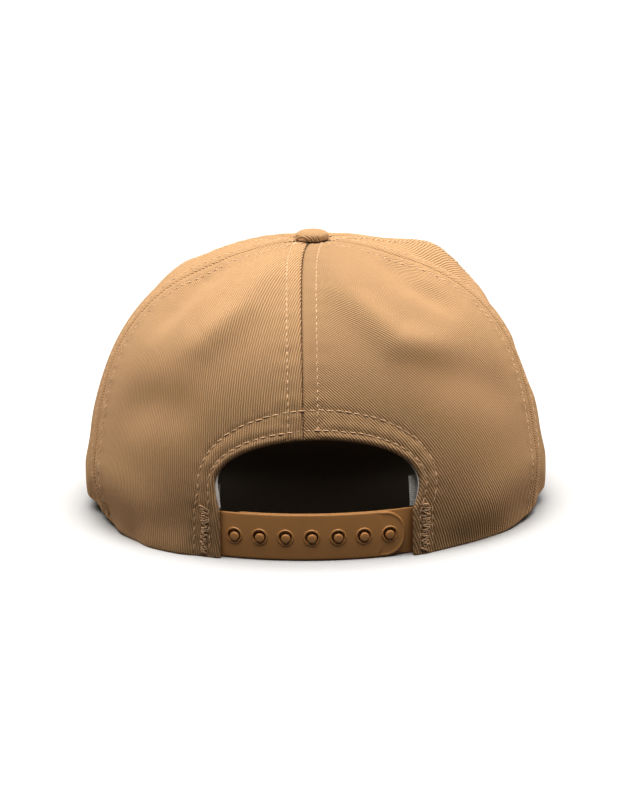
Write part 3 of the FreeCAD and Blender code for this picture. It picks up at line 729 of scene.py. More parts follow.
TWILL_COLOUR = (0.545, 0.36, 0.205)
TWILL = twill_material("tan_twill", TWILL_COLOUR, 0.98, 0.24, 0.08, contrast=0.47)
THREAD = thread_material("tan_thread", (0.68, 0.48, 0.31))
SEAM_THREAD = thread_material("seam_thread", (0.13, 0.075, 0.04))
BAND_TWILL = twill_material("dark_band_twill", (0.10, 0.062, 0.040), 0.8, 0.1, 0.15)
TAPE = tape_material("dark_tape", (0.16, 0.105, 0.07))
BUCKRAM = open_weave_material("buckram_weave", (0.32, 0.25, 0.22))
BACKING = felt_material("white_backing", (0.86, 0.85, 0.83))
LABEL = tape_material("white_label_weave", (0.92, 0.90, 0.88))
BOARD = moulded_material("visor_board_plastic", (0.75, 0.75, 0.72), 0.5)
STRAP = moulded_material("strap_plastic", (0.50, 0.272, 0.105), 0.42)
METAL = metal_material("button_metal", (0.72, 0.72, 0.70))


# ------------------------------------------------------------------ crown panels
def panel_piece(name, node, phi, alpha, seams, has_arch, middle, cut, lean):
    """Cloth panel on a grid of angles, with its edges rolled and its inner face flat."""
    base = skin_point(phi, alpha)
    outer = on_crown(phi, alpha, cloth_lift(base, seams, has_arch))
    inner = on_crown(phi, alpha, np.full(phi.shape, -CLOTH))
    points, faces = shell(outer, inner)
    weave = crown_weave(phi, alpha, middle, cut, lean).reshape(-1, 2)
    piece = make_piece(name, points, faces, TWILL, cloth=np.concatenate([weave, weave]))
    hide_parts(node)


def gore_grid(start, end, columns, rows):
    """Angles of a grid between two seams, from the rim to the top."""
    across = edged(columns, 70.0)
    up = edged(rows, 150.0, near_both=False)
    alpha = TOP_ANGLE * up[None, :] + 0.0 * across[:, None]
    phi = start(alpha) + (end(alpha) - start(alpha)) * across[:, None]
    return phi, alpha


def disc_place(phi, alpha):
    """Plan-like place of a point of the crown on a flat disc, with the top in its middle."""
    radius = 1.0 - alpha / HALF_PI
    return np.stack([radius * np.sin(phi), radius * np.cos(phi)], axis=-1)


def even_curve(phi, alpha, places):
    """Disc places spread along a curve on the crown by its real length."""
    along = path_length(skin_point(phi, alpha))
    disc = disc_place(phi, alpha)
    wanted = places * along[-1]
    return np.stack([np.interp(wanted, along, disc[:, k]) for k in range(2)], axis=-1)


def back_grid(side, columns, rows):
    """Angles of a grid with its first row on the arch's edge, first column on the back seam.

    The four sides are the arch, the side seam, the back seam and the rim, blended in between.
    """
    outline = arch_outline()
    phi, alpha = angles_at(outline[:, 0], outline[:, 1])
    beyond = phi - back_seam(alpha)
    if side > 0.0:
        keep = (beyond > 0.0) & (np.arange(len(phi)) < len(phi) // 2)
    else:
        keep = (beyond < 0.0) & (np.arange(len(phi)) > len(phi) // 3)
    arch_phi, arch_alpha = phi[keep], alpha[keep]
    if side > 0.0:
        arch_phi, arch_alpha = arch_phi[::-1], arch_alpha[::-1]
    crest = arch_alpha[0]
    arch_phi[0] = back_seam(np.array([crest]))[0]
    seam_alpha = np.linspace(crest, TOP_ANGLE, 200)
    far_alpha = np.linspace(TOP_ANGLE, 0.0, 300)
    far_phi = side * side_seam(far_alpha)
    first = back_seam(np.array([TOP_ANGLE]))[0]
    cap_phi = np.linspace(first, far_phi[0], 12, endpoint=False)
    far_phi = np.concatenate([cap_phi, far_phi])
    far_alpha = np.concatenate([0.0 * cap_phi + TOP_ANGLE, far_alpha])
    rim_phi = np.linspace(arch_phi[-1], far_phi[-1], 100)
    u = edged(columns, 110.0)
    v = edged(rows, 68.0)
    arch = even_curve(arch_phi, arch_alpha, u)
    far = even_curve(far_phi, far_alpha, u)
    near = even_curve(back_seam(seam_alpha), seam_alpha, v)
    rim = even_curve(rim_phi, 0.0 * rim_phi, v)
    uu = u[:, None, None]
    vv = v[None, :, None]
    disc = ((1.0 - vv) * arch[:, None] + vv * far[:, None]
            + (1.0 - uu) * near[None, :] + uu * rim[None, :]
            - (1.0 - uu) * (1.0 - vv) * arch[0] - uu * (1.0 - vv) * arch[-1]
            - uu * vv * far[-1] - (1.0 - uu) * vv * far[0])
    phi = np.arctan2(disc[..., 0], disc[..., 1])
    return phi, HALF_PI * (1.0 - np.linalg.norm(disc, axis=-1))


GORE_ROWS = 190         # rows of a front or side panel's grid, from the rim to the top
FRONT_COLUMNS = 130
SIDE_COLUMNS = 74
BACK_SHAPE = (190, 92)
PANELS = (
    # piece, node, grid, seams round it, meets the opening, then in degrees the meridian that its
    # cloth is laid out from and the angle of its ribs, and their lean
    ("front_cloth", "front_panel",
     gore_grid(front_seam, SEAMS["front_right"], FRONT_COLUMNS, GORE_ROWS),
     ("front_left", "front_right"), False, 180.0, 45.0, 0.0),
    ("side_cloth_left", "side_panel_left",
     gore_grid(side_seam, front_seam, SIDE_COLUMNS, GORE_ROWS),
     ("side_left", "front_left"), False, 100.0, 62.0, 0.0),
    ("side_cloth_right", "side_panel_right",
     gore_grid(SEAMS["side_right"], mirrored(front_seam), SIDE_COLUMNS, GORE_ROWS),
     ("side_right", "front_right"), False, -100.0, -40.0, 0.0),
    ("back_cloth_left", "back_panel_left", back_grid(1.0, *BACK_SHAPE),
     ("back", "side_left"), True, 36.0, 98.0, 0.0),
    ("back_cloth_right", "back_panel_right", back_grid(-1.0, *BACK_SHAPE),
     ("back", "side_right"), True, -36.0, -53.6, 0.0058),
)


def make_panels():
    """Front panel, two side panels and two back panels."""
    for name, node, (phi, alpha), seams, has_arch, middle, cut, lean in PANELS:
        panel_piece(name, node, phi, alpha, seams, has_arch, math.radians(middle), cut, lean)


# ------------------------------------------------------------------ stitches
STITCH_RINGS = np.array([-1.0, -0.93, -0.7, -0.3, 0.3, 0.7, 0.93, 1.0])
STITCH_SIDES = 6


def stitches(starts, ends, normals, radius, sink, arch, slant=0.0):
    """Points and faces of stitches: threads that rise out of the cloth and dive back in."""
    starts, ends, normals = (np.asarray(part, dtype=float) for part in (starts, ends, normals))
    count = len(starts)
    middle = 0.5 * (starts + ends)
    half = 0.5 * (ends - starts)
    length = np.linalg.norm(half, axis=1, keepdims=True)
    forward = half / length
    side = np.cross(forward, normals)
    side /= np.linalg.norm(side, axis=1, keepdims=True)
    upright = np.cross(side, forward)
    place = STITCH_RINGS
    rise = arch * (1.0 - place ** 2) - sink
    wide = radius * np.sqrt(np.maximum(1.0 - place ** 6, 0.02))
    turn = np.linspace(0.0, 2.0 * PI, STITCH_SIDES, endpoint=False)
    sideways = np.broadcast_to(slant, (count, 1)) * place[None, :]
    centre = (middle[:, None] + half[:, None] * place[None, :, None]
              + upright[:, None] * rise[None, :, None]
              + side[:, None] * sideways[..., None])
    ring = (side[:, None] * np.cos(turn)[None, :, None]
            + upright[:, None] * np.sin(turn)[None, :, None])
    points = centre[:, :, None] + ring[:, None] * wide[None, :, None, None]
    rings = len(place)
    faces = []
    for k in range(rings - 1):
        for j in range(STITCH_SIDES):
            following = (j + 1) % STITCH_SIDES
            low = k * STITCH_SIDES
            high = low + STITCH_SIDES
            faces.append((low + j, low + following, high + following, high + j))
    one = np.array(faces)
    per = rings * STITCH_SIDES
    all_faces = (one[None] + (np.arange(count) * per)[:, None, None]).reshape(-1, 4).tolist()
    last = per - STITCH_SIDES
    for start in range(0, count * per, per):
        all_faces.append(tuple(start + j for j in reversed(range(STITCH_SIDES))))
        all_faces.append(tuple(start + last + j for j in range(STITCH_SIDES)))
    return points.reshape(-1, 3), all_faces


def fan_free(faces):
    """Faces with more than four corners cut into triangles."""
    cut = []
    for face in faces:
        if len(face) <= 4:
            cut.append(tuple(face))
        else:
            cut += [(face[0], face[k], face[k + 1]) for k in range(1, len(face) - 1)]
    return cut


def joined(parts):
    """Several points-and-faces pairs as one."""
    points = []
    faces = []
    total = 0
    for some_points, some_faces in parts:
        points.append(some_points)
        faces += [tuple(index + total for index in face) for face in some_faces]
        total += len(some_points)
    return np.concatenate(points), faces


def make_threads(name, parts, material=THREAD):
    """One piece made of several sets of stitches."""
    points, faces = joined(parts)
    return make_piece(name, points, fan_free(faces), material)


def row_stitches(line, normals, rng, pitch=STITCH_PITCH, share=0.8, radius=0.23, lift=0.0):
    """Stitches along a row that lies on the cloth, with small unevenness."""
    both = np.concatenate([line, normals], axis=1)
    length = path_length(line)[-1]
    count = int((length - 1.0) / pitch)
    centres = 0.5 * (length - count * pitch) + pitch * (np.arange(count) + 0.5)
    centres += rng.normal(0.0, 0.05 * pitch, count)
    halves = 0.5 * pitch * share * (1.0 + rng.normal(0.0, 0.05, count))
    first = resample(both, centres - halves)
    second = resample(both, centres + halves)
    upright = first[:, 3:] + second[:, 3:]
    upright /= np.linalg.norm(upright, axis=1, keepdims=True)
    across = np.cross(second[:, :3] - first[:, :3], upright)
    across /= np.linalg.norm(across, axis=1, keepdims=True)
    shift = across * rng.normal(0.0, 0.07, (count, 1)) + upright * lift
    return stitches(first[:, :3] + shift, second[:, :3] + shift, upright,
                    radius, 0.22, 0.40, slant=0.09)


def crown_row(phi, alpha, seams, has_arch):
    """Line and normals of a row of stitches on the panels' outer face, at given angles."""
    base = skin_point(phi, alpha)
    return on_crown(phi, alpha, cloth_lift(base, seams, has_arch)), skin_normal(phi, alpha)


def seam_rows(name, seams_of_side, low, rng):
    """The two topstitch rows beside a seam, each on its own panel."""
    parts = []
    for side, seams in seams_of_side:
        alpha = np.linspace(low, alpha_at_reach(ROW_STOP), 260)
        phi = SEAMS[name](alpha)
        phi = phi + side * SEAM_ROW / skin_radius(phi, alpha)
        line, normals = crown_row(phi, alpha, seams, name == "back")
        parts.append(row_stitches(line, normals, rng))
    return parts


RUNG_PITCH = 1.9
RUNG_HALF = 0.42        # half width of a rung, and how far it leans along the seam
RUNG_DEPTH = 0.34
RUNG_RADIUS = 0.26
ROW_STOP = 6.4          # plan distance from the top where the topstitch rows end
RUNG_STOP = 7.0


def seam_ladder(name, low, rng):
    """Threads of the closing seam, seen as small rungs across the valley between two panels."""
    alpha = np.linspace(low, alpha_at_reach(RUNG_STOP), 400)
    phi = SEAMS[name](alpha)
    line = on_crown(phi, alpha, np.full(phi.shape, -RUNG_DEPTH))
    both = np.concatenate([line, skin_normal(phi, alpha)], axis=1)
    length = path_length(line)[-1]
    places = np.arange(0.6, length - 0.6, RUNG_PITCH)
    here = resample(both, places)
    ahead = resample(both, places + 0.3)
    forward = ahead[:, :3] - here[:, :3]
    forward /= np.linalg.norm(forward, axis=1, keepdims=True)
    across = np.cross(forward, here[:, 3:])
    lean = forward * (RUNG_HALF + rng.normal(0.0, 0.05, (len(places), 1)))
    half = RUNG_HALF * across + lean
    return stitches(here[:, :3] - half, here[:, :3] + half, here[:, 3:],
                    RUNG_RADIUS, 0.16, 0.26)


SIDES_OF_SEAM = {
    "back": ((1.0, ("back", "side_left")), (-1.0, ("back", "side_right"))),
    "side_left": ((1.0, ("side_left", "front_left")), (-1.0, ("back", "side_left"))),
    "side_right": ((1.0, ("back", "side_right")), (-1.0, ("side_right", "front_right"))),
    "front_left": ((1.0, ("front_left", "front_right")), (-1.0, ("side_left", "front_left"))),
    "front_right": ((1.0, ("side_right", "front_right")), (-1.0, ("front_left", "front_right"))),
}


ROW_OVER_ARCH = math.radians(26.6)
ROW_FOOT = math.radians(0.6)


def make_stitches():
    """Topstitch rows beside the seams, rows round the arch and rungs in the seams."""
    rng = np.random.default_rng(SEED)
    for name, sides in SIDES_OF_SEAM.items():
        low = ROW_OVER_ARCH if name == "back" else ROW_FOOT
        make_threads("topstitch_" + name, seam_rows(name, sides, low, rng))
        make_threads("seam_rungs_" + name, [seam_ladder(name, low, rng)], SEAM_THREAD)
    parts = []
    for outline in (INNER_ROW, OUTER_ROW):
        phi, alpha = angles_at(outline[:, 0], outline[:, 1])
        line, normals = crown_row(phi, alpha, ("back",), True)
        parts.append(row_stitches(line, normals, rng, pitch=3.7, share=0.86, radius=0.27))
    make_threads("topstitch_arch", parts)


# ------------------------------------------------------------------ bar tacks
TACK_X = {"left": (43.7, 47.2), "right": (-45.9, -42.0)}
TACK_FOOT = 1.4
TACK_TOP = 21.6
TACK_PITCH = 0.95


def tack_pass(near, far, rng, phase):
    """One pass of a bar tack: a loose zigzag between two uprights."""
    count = int((TACK_TOP - TACK_FOOT) / TACK_PITCH)
    number = np.arange(count + 1)
    heights = TACK_FOOT + TACK_PITCH * (number + phase) + rng.normal(0.0, 0.30, count + 1)
    swing = np.where(number % 2 == 0, near, far)
    reach = rng.uniform(0.45, 1.05, count + 1)
    middle = 0.5 * (near + far) + 0.4 * np.sin(heights / 3.1 + phase)
    x = middle + (swing - 0.5 * (near + far)) * reach
    phi, alpha = angles_at(x, np.clip(heights, TACK_FOOT, TACK_TOP))
    line, normals = crown_row(phi, alpha, ("back",), True)
    upright = normals[1:] + normals[:-1]
    upright /= np.linalg.norm(upright, axis=1, keepdims=True)
    lift = upright * (0.22 + rng.uniform(0.0, 0.2, (count, 1)))
    bow = rng.normal(0.0, 0.35, (count, 1))
    return stitches(line[:-1] + lift, line[1:] + lift, upright, 0.17, 0.1, 0.26, slant=bow)


def make_bar_tacks():
    """Uneven zigzags of thin thread that hold the straps' tabs."""
    rng = np.random.default_rng(SEED + 1)
    for side, (near, far) in TACK_X.items():
        parts = [tack_pass(near, far, rng, phase) for phase in (0.0, 0.5)]
        piece = make_threads("tack_threads_" + side, parts)
        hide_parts("bar_tack_" + side)


# ------------------------------------------------------------------ linings inside the crown
def lining_piece(name, node, material, phi, alpha, near, far):
    """Thin shell between two depths under the crown's surface."""
    outer = on_crown(phi, alpha, -(near + 0.0 * phi))
    inner = on_crown(phi, alpha, -(far + 0.0 * phi))
    points, faces = shell(outer, inner)
    across = (phi - phi.mean()) * skin_radius(phi, alpha)
    up = np.interp(alpha, ARC_ANGLES, ARC_LENGTHS)
    weave = np.stack([across, up], axis=-1).reshape(-1, 2)
    piece = make_piece(name, points, faces, material, cloth=np.concatenate([weave, weave]))
    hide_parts(node)


def edge_taper(share, width):
    """1 in the middle of a strip and 0 at its edges, for shares from 0 to 1."""
    return smooth(np.minimum(share, 1.0 - share) / width)


LINING_DEPTH = CLOTH + LAYER_GAP
LINING_FOOT = math.radians(1.0)
TAPE_HALF = 6.0
TAPE_THICK = 0.5
TAPE_STOP = 15.0
TAPE_OVER_ARCH = math.radians(32.5)
TAPE_ROW = 0.72         # place of a tape's stitches, as a share of its half width


def make_tapes():
    """Folded tapes over the inside of the seams, each sewn along both edges."""
    rng = np.random.default_rng(SEED + 2)
    for name, seam in SEAMS.items():
        low = TAPE_OVER_ARCH if name == "back" else LINING_FOOT
        alpha_line = np.linspace(low, alpha_at_reach(TAPE_STOP), 150)
        share = edged(13, 2.0 * TAPE_HALF, first=0.1)
        alpha = alpha_line[None, :] + 0.0 * share[:, None]
        phi = seam(alpha)
        phi = phi + (2.0 * share[:, None] - 1.0) * TAPE_HALF / skin_radius(phi, alpha)
        body = edge_taper(share, 0.04)[:, None]
        raised = 0.35 * bump(share - 0.5, 0.3)[:, None]
        far = LINING_DEPTH + TAPE_THICK * (0.35 + 0.65 * body) + raised
        lining_piece("tape_" + name, "seam_tape_" + name, TAPE, phi, alpha,
                     LINING_DEPTH, far)
        parts = []
        for side in (-1.0, 1.0):
            turn = seam(alpha_line)
            turn = turn + side * TAPE_ROW * TAPE_HALF / skin_radius(turn, alpha_line)
            depth = LINING_DEPTH + TAPE_THICK + 0.06
            line = on_crown(turn, alpha_line, np.full(turn.shape, -depth))
            parts.append(row_stitches(line, -skin_normal(turn, alpha_line), rng, radius=0.22))
        make_threads("tape_stitches_" + name, parts)


BUCKRAM_TOP = math.radians(66.0)
BUCKRAM_THICK = 0.6


def make_buckram():
    """Stiffener behind the front panel."""
    across = np.linspace(0.0, 1.0, 90)
    alpha = np.linspace(LINING_FOOT, BUCKRAM_TOP, 80)[None, :] + 0.0 * across[:, None]
    start = front_seam(alpha) + (TAPE_HALF + 1.0) / skin_radius(front_seam(alpha), alpha)
    phi = start + (2.0 * (PI - start)) * across[:, None]
    lining_piece("buckram_mesh", "front_buckram", BUCKRAM, phi, alpha,
                 LINING_DEPTH, LINING_DEPTH + BUCKRAM_THICK)


FACING_FROM = 0.45      # the facing's edge, behind the arch's
FACING_WIDTH = 9.3
FACING_FOOT = 20.6
FACING_THICK = 0.5


def make_facing():
    """White tape folded round the inside of the arch; its edge peeps out at both sides."""
    grows = edged(14, 10.0, first=0.1) * FACING_WIDTH + FACING_FROM
    share = (grows - grows[0]) / (grows[-1] - grows[0])
    outlines = []
    for grow, part in zip(grows, share):
        outline = arch_outline(grow)
        kept = outline[outline[:, 1] >= FACING_FOOT]
        along = path_length(np.concatenate([kept, 0.0 * kept[:, :1]], axis=1))
        places = np.linspace(0.0, along[-1], 240)
        line = np.stack([np.interp(places, along, kept[:, k]) for k in range(2)], axis=1)
        peep = np.where(line[:, 0] > 0.0, 1.75 * bump(line[:, 1] - 27.0, 9.0),
                        0.95 * bump(line[:, 1] - 33.0, 13.0))
        line[:, 0] -= np.sign(line[:, 0]) * peep * (1.0 - part) ** 3
        outlines.append(line)
    grid = np.stack(outlines, axis=1)
    phi, alpha = angles_at(grid[..., 0], grid[..., 1])
    far = LINING_DEPTH + FACING_THICK * (0.4 + 0.6 * edge_taper(share, 0.06))[None, :]
    lining_piece("facing_tape", "opening_facing", BACKING, phi, alpha,
                 LINING_DEPTH, far)


BAND_TOP = math.radians(15.6)
BAND_LOW = math.radians(0.6)
BAND_END = 28.3         # degrees from the back to the sweatband's ends
BAND_ROW = 0.9          # place of the band's stitches, as a share of its height
BAND_ROW_END = math.radians(28.8)
BACKING_END = 27.6
BACKING_THICK = 0.4
BAND_GAP = 0.55         # from the backing's outer face to the band's
BACKING_DEPTH = 1.75    # depth of the backing in front and at the sides
TAB_DEPTH = 4.7         # its depth behind the straps' tabs
TAB_CLEAR_FROM = math.radians(38.0)
TAB_CLEAR_SPREAD = math.radians(17.0)


def band_depth(phi):
    """Depth of the sweatband's backing: deeper beside the opening, behind the straps' tabs."""
    share = smooth((turn_of(phi) - TAB_CLEAR_FROM) / TAB_CLEAR_SPREAD)
    return TAB_DEPTH + (BACKING_DEPTH - TAB_DEPTH) * share


def band_grid(end, columns, rows):
    """Angles of a strip that runs round inside the rim between the opening's two sides."""
    across = edged(columns, 500.0)
    up = edged(rows, 27.0, first=0.12)
    phi = math.radians(end) + (2.0 * PI - 2.0 * math.radians(end)) * across[:, None] + 0.0 * up
    alpha = BAND_LOW + (BAND_TOP - BAND_LOW) * up[None, :] + 0.0 * across[:, None]
    return phi, alpha, up


def make_sweatband():
    """Soft folded band with a row of stitches near its upper edge, and its white backing."""
    phi, alpha, up = band_grid(BAND_END, 420, 24)
    near = band_depth(phi) + BAND_GAP
    thick = 0.35 + 0.85 * edge_taper(up, 0.06)[None, :]
    groove = 0.35 * bump((up - BAND_ROW) * 27.0, 0.8)[None, :]
    roll = 0.55 * bump((up - 0.45), 0.4)[None, :]
    soft = 0.12 * ripple((phi - PI) * 80.0, 0.4) * np.sin(PI * up)[None, :]
    far = near + thick + roll + soft - groove
    lining_piece("sweatband_cloth", "sweatband", BAND_TWILL, phi, alpha, near, far)
    turn = np.linspace(BAND_ROW_END, 2.0 * PI - BAND_ROW_END, 900)
    height = BAND_LOW + (BAND_TOP - BAND_LOW) * BAND_ROW + 0.0 * turn
    depth = band_depth(turn) + BAND_GAP + 0.95
    line = on_crown(turn, height, -depth)
    row = row_stitches(line, -skin_normal(turn, height), np.random.default_rng(SEED + 3))
    make_threads("sweatband_stitches", [row], SEAM_THREAD)
    phi, alpha, up = band_grid(BACKING_END, 300, 12)
    near = band_depth(phi)
    lining_piece("backing_strip", "sweatband_backing", BACKING, phi, alpha,
                 near, near + BACKING_THICK)


LABEL_TURNS = (math.radians(-33.0), math.radians(-26.5))
LABEL_HEIGHTS = (math.radians(10.3), math.radians(16.9))
LABEL_DEPTH = 4.2
LABEL_THICK = 0.3
LABEL_CURL = 0.25


def make_label():
    """Blank label on the outside of the backing, beside the strap."""
    across = edged(16, 12.0, first=0.08)
    up = edged(16, 12.0, first=0.08)
    far, near = LABEL_TURNS
    low, high = LABEL_HEIGHTS
    phi = far + (near - far) * across[:, None] + 0.0 * up[None, :]
    alpha = low + (high - low) * up[None, :] + 0.0 * across[:, None]
    outside = LABEL_DEPTH - LABEL_CURL * smooth((across - 0.7) / 0.3)[:, None]
    lining_piece("label_blank", "blank_label", LABEL, phi, alpha,
                 outside, outside + LABEL_THICK)


# ------------------------------------------------------------------ visor
VISOR_CORNER = math.radians(124.0)
VISOR_REACH = 70.0
VISOR_END = 3.0
VISOR_FAN = 0.35
VISOR_COVER = 0.6
VISOR_THICK = 3.1
VISOR_ROWS = 8
VISOR_ROW_FIRST = 3.4
VISOR_ROW_STEP = 6.3
VISOR_STITCH_PITCH = 3.3
VISOR_PILLOW = 0.16
VISOR_CUT = math.radians(45.0)
VISOR_SHAPE = (230, 96)
THREAD_SINK = 0.12      # depth of the stitches' middle line under a face


def visor_plan(u, v):
    """Plan point of the visor: u from -1 to 1 across, v from the crown to the edge."""
    phi = PI + (PI - VISOR_CORNER) * u
    radius = plan_radius(phi) - CLOTH
    swing = PI + (phi - PI) * VISOR_FAN
    reach = VISOR_END + (VISOR_REACH - VISOR_END) * np.sqrt(np.maximum(1.0 - u ** 4, 0.0))
    return (radius * np.sin(phi) + reach * v * np.sin(swing),
            radius * np.cos(phi) + reach * v * np.cos(swing))


def visor_point(u, v, depth):
    """Point of the visor at a depth under its upper face."""
    x, y = visor_plan(u, v)
    return np.stack([x, y, visor_height(x, y) - depth], axis=-1)


def visor_edge(count=500):
    """Polyline of the visor's outer edge."""
    u = np.sin(HALF_PI * np.linspace(-1.0, 1.0, count))
    return visor_point(u, np.ones(count), 0.0 * u)


def visor_relief(edge, along):
    """Pillows between the rows of stitches, with a groove at each row."""
    place = (edge - VISOR_ROW_FIRST) / VISOR_ROW_STEP
    nearest = np.clip(np.round(place), 0, VISOR_ROWS - 1)
    away = (place - nearest) * VISOR_ROW_STEP
    pillow = VISOR_PILLOW * (1.0 - bump(away, 1.9))
    return pillow - row_groove(away, along)


def turned(x, y, turn):
    """Plan places seen along directions turned by an angle."""
    return np.stack([x * math.cos(turn) + y * math.sin(turn),
                     y * math.cos(turn) - x * math.sin(turn)], axis=-1)


def make_visor_cover(name, node, upper):
    """Cloth cover of one face of the visor, turned in at the edge."""
    columns, rows = VISOR_SHAPE
    u = np.sin(HALF_PI * np.linspace(-1.0, 1.0, columns))[:, None]
    steps = 1.0 - edged(rows, 66.0, first=0.1, near_both=False)[::-1]
    v = steps[None, :]
    uu = u + 0.0 * v
    vv = v + 0.0 * u
    line = visor_edge()
    edge, along = measure(visor_point(uu, vv, 0.0 * uu), line)
    half = 0.5 * VISOR_THICK
    inwards = 1.0 - np.clip(edge / half, 0.0, 1.0)
    rounded = half * (1.0 - np.sqrt(np.maximum(1.0 - inwards ** 2, 0.0)))
    rooted = smooth(vv * 14.0)
    outer_depth = np.minimum(rounded, half - 0.04) - visor_relief(edge, along) * rooted * 0.9
    outer_depth = np.minimum(outer_depth, half - 0.04)
    inner_depth = np.minimum(rounded + VISOR_COVER, half - 0.01)
    if not upper:
        outer_depth = VISOR_THICK - outer_depth
        inner_depth = VISOR_THICK - inner_depth
    outer = visor_point(uu, vv, outer_depth)
    inner = visor_point(uu, vv, inner_depth)
    points, faces = shell(outer, inner)
    x, y = visor_plan(uu, vv)
    weave = turned(x, y, VISOR_CUT).reshape(-1, 2)
    piece = make_piece(name, points, faces, TWILL, cloth=np.concatenate([weave, weave]))
    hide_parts(node)


def make_visor_stitches():
    """Rows of stitches that follow the visor's edge, on both its faces."""
    rng = np.random.default_rng(SEED + 4)
    u = np.sin(HALF_PI * np.linspace(-1.0, 1.0, 401))
    v = np.linspace(0.0, 1.0, 161)
    uu, vv = np.meshgrid(u, v, indexing="ij")
    edge = measure(visor_point(uu, vv, 0.0 * uu), visor_edge())[0]
    for face, depth, side in (("top", THREAD_SINK, 1.0),
                              ("under", VISOR_THICK - THREAD_SINK, -1.0)):
        parts = []
        for row in range(VISOR_ROWS):
            wanted = VISOR_ROW_FIRST + row * VISOR_ROW_STEP
            inside = np.nonzero(edge[:, 0] > wanted + 1.0)[0]
            places = np.array([np.interp(-wanted, -edge[i], v) for i in inside])
            line = visor_point(u[inside], places, depth + 0.0 * places)
            step_x = visor_point(u[inside], places, 0.0 * places) + np.array([0.5, 0.0, 0.0])
            slope = np.stack([step_x[:, 0] / VISOR_BEND, 0.0 * places - VISOR_SLOPE,
                              1.0 + 0.0 * places], axis=1)
            normals = side * slope / np.linalg.norm(slope, axis=1, keepdims=True)
            parts.append(row_stitches(line, normals, rng, pitch=VISOR_STITCH_PITCH))
        make_threads("visor_stitches_" + face, parts)


# ------------------------------------------------------------------ button
BUTTON_RADIUS = 7.0
BUTTON_RISE = 3.3
BUTTON_BASE = CROWN_HEIGHT + CROWN_PEAK + LAYER_GAP
BUTTON_CLOTH = 0.5
BUTTON_FLAT = 3.3       # exponent of the outline: 2 is a ball, more is flatter
BUTTON_PLEATS = 18
BUTTON_PUCKER = 0.022
BUTTON_CUT = math.radians(52.0)
BUTTON_TURNS = 96
BUTTON_RINGS = 30


def button_layer(radius, rise, puckered):
    """Grid of one face of the button's cloth, ring by ring from the top to the rim."""
    turn = np.linspace(0.0, 2.0 * PI, BUTTON_TURNS, endpoint=False)
    angle = np.linspace(0.0, 1.0, BUTTON_RINGS) ** 0.8 * HALF_PI
    length = (np.sin(angle) ** BUTTON_FLAT + np.cos(angle) ** BUTTON_FLAT) ** (-1.0 / BUTTON_FLAT)
    reach = radius * length * np.sin(angle)
    height = rise * length * np.maximum(np.cos(angle), 0.0)
    low = smooth((reach / radius - 0.86) / 0.14)
    pleat = 0.5 + 0.5 * np.cos(BUTTON_PLEATS * turn)
    wide = reach[:, None] * (1.0 - puckered * low[:, None] * pleat[None, :])
    return np.stack([wide * np.sin(turn), APEX_Y + wide * np.cos(turn),
                     BUTTON_BASE + height[:, None] + 0.0 * wide], axis=-1)


def make_button():
    """Twill drawn over the flat-topped button and gathered under its rim."""
    turns = BUTTON_TURNS
    rings = BUTTON_RINGS
    outer = button_layer(BUTTON_RADIUS, BUTTON_RISE, BUTTON_PUCKER)
    inner = button_layer(BUTTON_RADIUS - BUTTON_CLOTH, BUTTON_RISE - BUTTON_CLOTH, 0.0)
    points = []
    faces = []
    for number, grid in enumerate((outer, inner)):
        start = len(points)
        points.append(grid[0, 0])
        points += list(grid[1:].reshape(-1, 3))
        layer_faces = [(start, start + 1 + j, start + 1 + (j + 1) % turns) for j in range(turns)]
        for k in range(rings - 2):
            for j in range(turns):
                following = (j + 1) % turns
                low = start + 1 + k * turns
                layer_faces.append((low + j, low + turns + j, low + turns + following,
                                    low + following))
        faces += [face[::-1] for face in layer_faces] if number else layer_faces
    per = 1 + (rings - 1) * turns
    rim = [per - turns + j for j in range(turns)]
    faces += [tuple(reversed(face)) for face in wall_faces(rim, [index + per for index in rim])]
    points = np.array(points)
    plan = points[:, :2] - np.array([0.0, APEX_Y])
    drop = BUTTON_RISE - (points[:, 2] - BUTTON_BASE)
    stretched = plan * (1.0 + 0.06 * drop)[:, None]
    weave = turned(stretched[:, 0], stretched[:, 1], BUTTON_CUT)
    piece = make_piece("button_cloth", points, faces, TWILL, cloth=weave)
    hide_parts("button_cover")


# ------------------------------------------------------------------ straps
STRAP_CENTRE_Y = -20.2
STRAP_MIDDLE_Z = 9.8
STRAP_HALF = 9.5
STRAP_THICK = 1.2
STRAP_BOW = 0.4         # how far a strap's long edges lie behind its middle
TIP_ROUND = 8.6
STRAP_PITCH = math.radians(5.8)
FIRST_STUD = math.radians(18.5)
STUD_COUNT = 7
HOLE_RADIUS = 2.5
STUD_RADIUS = 2.0
STUD_PROUD = 0.9
HOLE_STRAP = {"name": "hole_strap", "radius": 105.0, "side": 1.0, "tip": math.radians(20.0)}
STUD_STRAP = {"name": "stud_strap", "radius": 103.5, "side": -1.0, "tip": math.radians(21.4)}
STUD_SHIFT = (-0.15, -0.38)     # place of each stud in its cell, along the strap and across it
TAB_END_X = 48.0
LIP_INSET = 0.75        # a raised line that follows the edge of a strap's tip
LIP_HEIGHT = 0.3
EDGE_ROUND = 0.42
CELL_EDGE_STEPS = np.array([0.0, 0.07, 0.17, 0.3, 0.5, 0.8])
CELL_COLUMNS = 11
TIP_INSETS = (2.1, 1.65, 1.25, 0.95, 0.72, 0.5, 0.3, 0.17, 0.07)


def tip_margin(s, z, tip):
    """Distance of a point of the flat strap from the outline of its rounded end."""
    past = s - (tip - TIP_ROUND)
    high = np.abs(z) - (STRAP_HALF - TIP_ROUND)
    corner = TIP_ROUND - np.hypot(np.maximum(past, 0.0), np.maximum(high, 0.0))
    straight = np.minimum(STRAP_HALF - np.abs(z), tip - s)
    return np.where((past > 0.0) & (high > 0.0), corner, straight)


